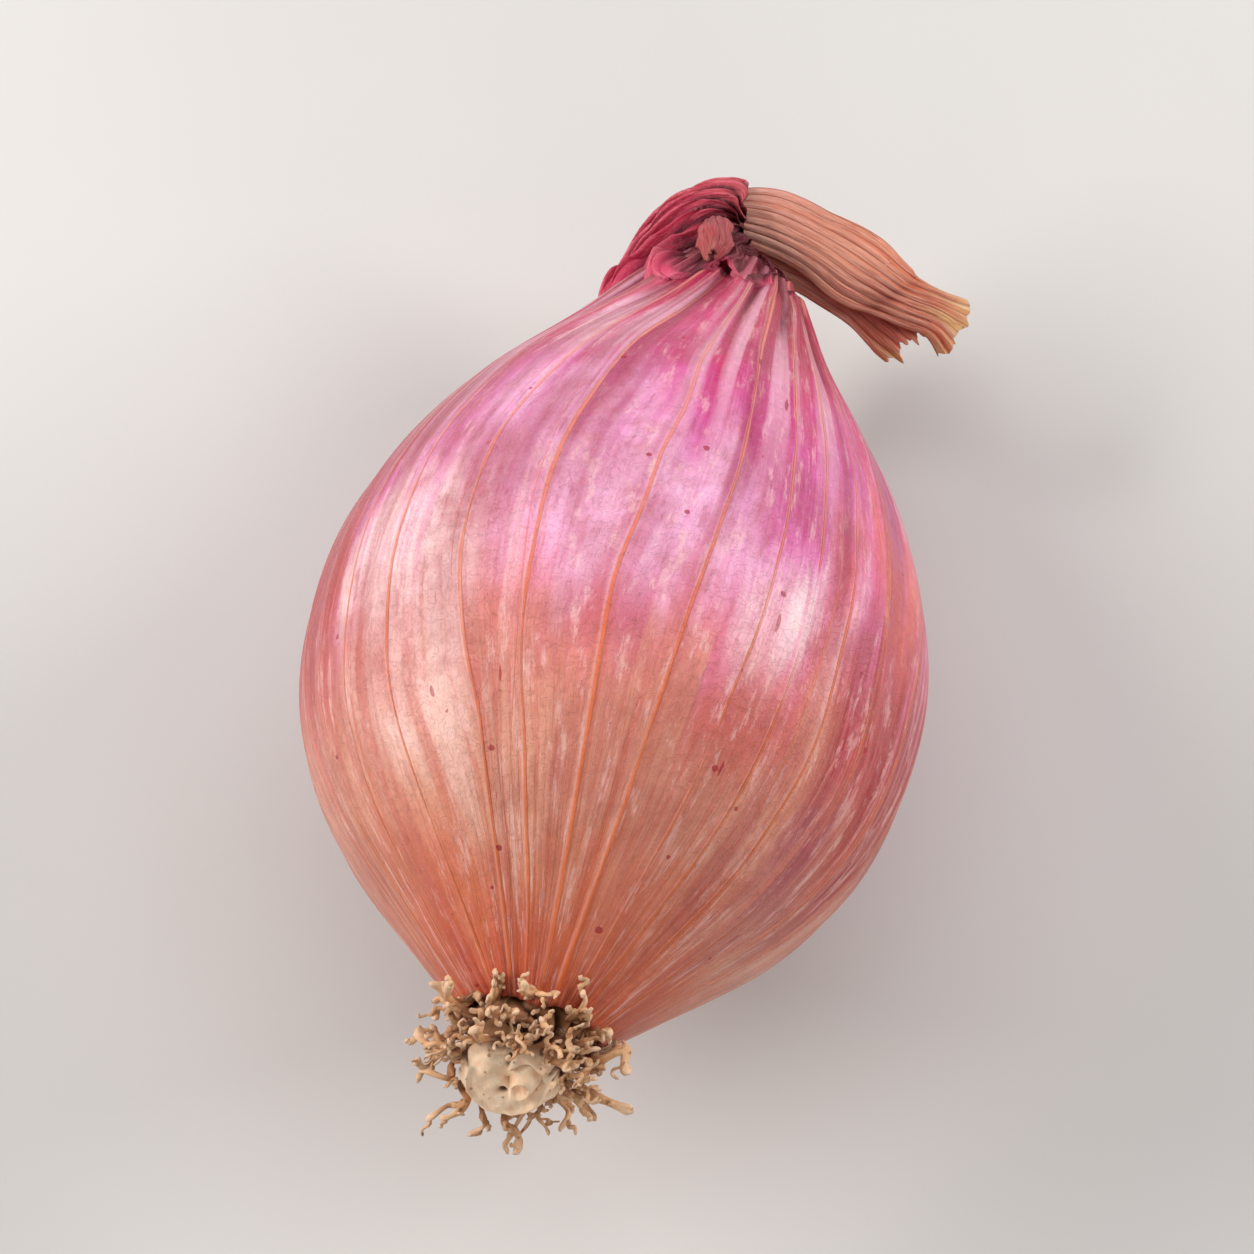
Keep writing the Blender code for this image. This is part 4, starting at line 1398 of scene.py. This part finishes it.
# Dark brown towards the foot, deep in the tuft: painted shade, partly soil stain.
colour = web.ramp(
    web.plus(reach, web.times(web.minus(grain, 0.5), 0.5)),
    (0.00, (58, 28, 12)),
    (0.24, (112, 60, 28)),
    (0.46, (190, 124, 74)),
    (0.74, (232, 178, 128)),
    last=(1.00, (250, 208, 172)),
)
colour = web.over(
    colour,
    (web.times(fibres["Streaks"], 0.30), (238, 202, 164)),
    (web.step(grain, 0.42, 0.28, 0.0, 0.6), (96, 58, 28)),
)
web.feed(colour, shader["Base Color"])
web.feed(web.step(grain, 0.3, 0.7, 0.82, 0.62), shader["Roughness"])
relief(web, shader, web.plus(grain, web.times(fibres["Streaks"], 0.5)), 0.08 * MM)

# %% Add the plate and the rootlets
add_piece("corky_root_plate", plate_mesh, plate_finish, "pale_plate", "root_plate")
add_rootlets(root_finish)

# %% [markdown]
# ## Table, light and camera
# The shallot lies on a plain pale table. Soft light comes from two tall panels at its sides, as in
# a room with windows on both sides, so each flank carries a broad soft reflection. A wide panel
# overhead and a weak one low in front only fill the shadows. The camera looks down on the table, a
# little from the root end. A long lens keeps the near root end from looking swollen.

# %% Table
TABLE_SIZE = 3.0


def table_top():
    """A square grid, sunk a hair below the origin so that the flat spot doesn't meet it."""
    reach = np.linspace(-TABLE_SIZE / 2, TABLE_SIZE / 2, 9)
    y, x = np.meshgrid(reach, reach, indexing="ij")
    return np.stack([x, y, np.full_like(x, -0.02 * MM)], -1)


table_finish, web, shader = new_finish("matte table", Roughness=0.7)
table_place = web.put("TexCoord").outputs["Object"]
tone = web.noise(table_place, 14.0, detail=3.0)
colour = web.ramp(tone, (0.3, (200, 196, 192)), last=(0.7, (206, 202, 198)))
web.feed(colour, shader["Base Color"])
table_mesh = sheet("table", table_top())
table_mesh.materials.append(table_finish)
table = bpy.data.objects.new("table", table_mesh)
bpy.context.scene.collection.objects.link(table)
table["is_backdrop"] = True

# %% Camera
LEAN = math.radians(13.5)  # how far the bulb leans to the right, as the camera sees it
TILT = math.radians(60)  # from the bulb's axis to the line of sight
CAMERA_DISTANCE = 0.240
elevation = TILT + DROOP
azimuth = math.atan(math.tan(LEAN) * math.sin(elevation))
back = np.array([
    math.sin(azimuth) * math.cos(elevation), -math.cos(azimuth) * math.cos(elevation),
    math.sin(elevation)])
right = np.array([math.cos(azimuth), math.sin(azimuth), 0.0])
upward = np.cross(back, right)

lens = bpy.data.cameras.new("camera")
lens.lens = 110
lens.clip_start, lens.clip_end = 0.01, 10
camera = bpy.data.objects.new("camera", lens)
middle = (np.array(cad_low) + np.array(cad_high)) / 2
camera.location = middle + CAMERA_DISTANCE * back
camera.rotation_mode = "QUATERNION"
camera.rotation_quaternion = Matrix(np.stack([right, upward, back], 1).tolist()).to_quaternion()
bpy.context.scene.collection.objects.link(camera)
bpy.context.scene.camera = camera
print(f"camera {math.degrees(azimuth):.1f} degrees round, {math.degrees(elevation):.1f} up")

# %% Light
PANEL_DISTANCE = 0.40


def light_panel(name, toward_right, toward_top, toward_camera, width, height, watts, mirrored=True):
    """A soft panel in a direction given as the camera sees it, facing the shallot. One that isn't
    mirrored only lights the surfaces, as light from a white ceiling does, and leaves no gloss."""
    direction = toward_right * right + toward_top * upward + toward_camera * back
    direction = direction / np.linalg.norm(direction)
    lamp = bpy.data.lights.new(name, "AREA")
    lamp.shape, lamp.size, lamp.size_y, lamp.energy = "RECTANGLE", width, height, watts
    holder = bpy.data.objects.new(name, lamp)
    holder.location = middle + PANEL_DISTANCE * direction
    sideways = np.cross(upward, direction)
    sideways = sideways / np.linalg.norm(sideways)
    frame_of = np.stack([sideways, np.cross(direction, sideways), direction], 1)
    holder.rotation_mode = "QUATERNION"
    holder.rotation_quaternion = Matrix(frame_of.tolist()).to_quaternion()
    holder.visible_glossy = mirrored
    bpy.context.scene.collection.objects.link(holder)


light_panel("left_window", -0.86, 0.40, 0.43, 0.07, 0.36, 1.60)
light_panel("right_window", 0.86, 0.36, 0.40, 0.065, 0.22, 1.10)
light_panel("overhead", 0.05, 0.60, 0.80, 0.40, 0.30, 0.70, mirrored=False)
light_panel("low_front", -0.10, -0.80, 0.60, 0.30, 0.20, 0.28, mirrored=False)

world = bpy.data.worlds.new("soft room")
world.use_nodes = True
room = world.node_tree.nodes["Background"].inputs
room["Color"].default_value = paint(238, 240, 246)
room["Strength"].default_value = 0.16
bpy.context.scene.world = world
bpy.context.scene.view_settings.view_transform = "Standard"

# %% [markdown]
# ## Measure and finish
# The new surfaces must keep the imported model's size, so both boxes are printed.

# %% Print the sizes and finish
show_low, show_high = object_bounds()
sizes = {"cad": [list(map(float, cad_low)), list(map(float, cad_high))],
         "visual": [list(map(float, show_low)), list(map(float, show_high))]}
print("packed box, mm:", [round(1000 * (b - a), 1) for a, b in zip(*sizes["cad"])])
print("shown box, mm:", [round(1000 * (b - a), 1) for a, b in zip(*sizes["visual"])])
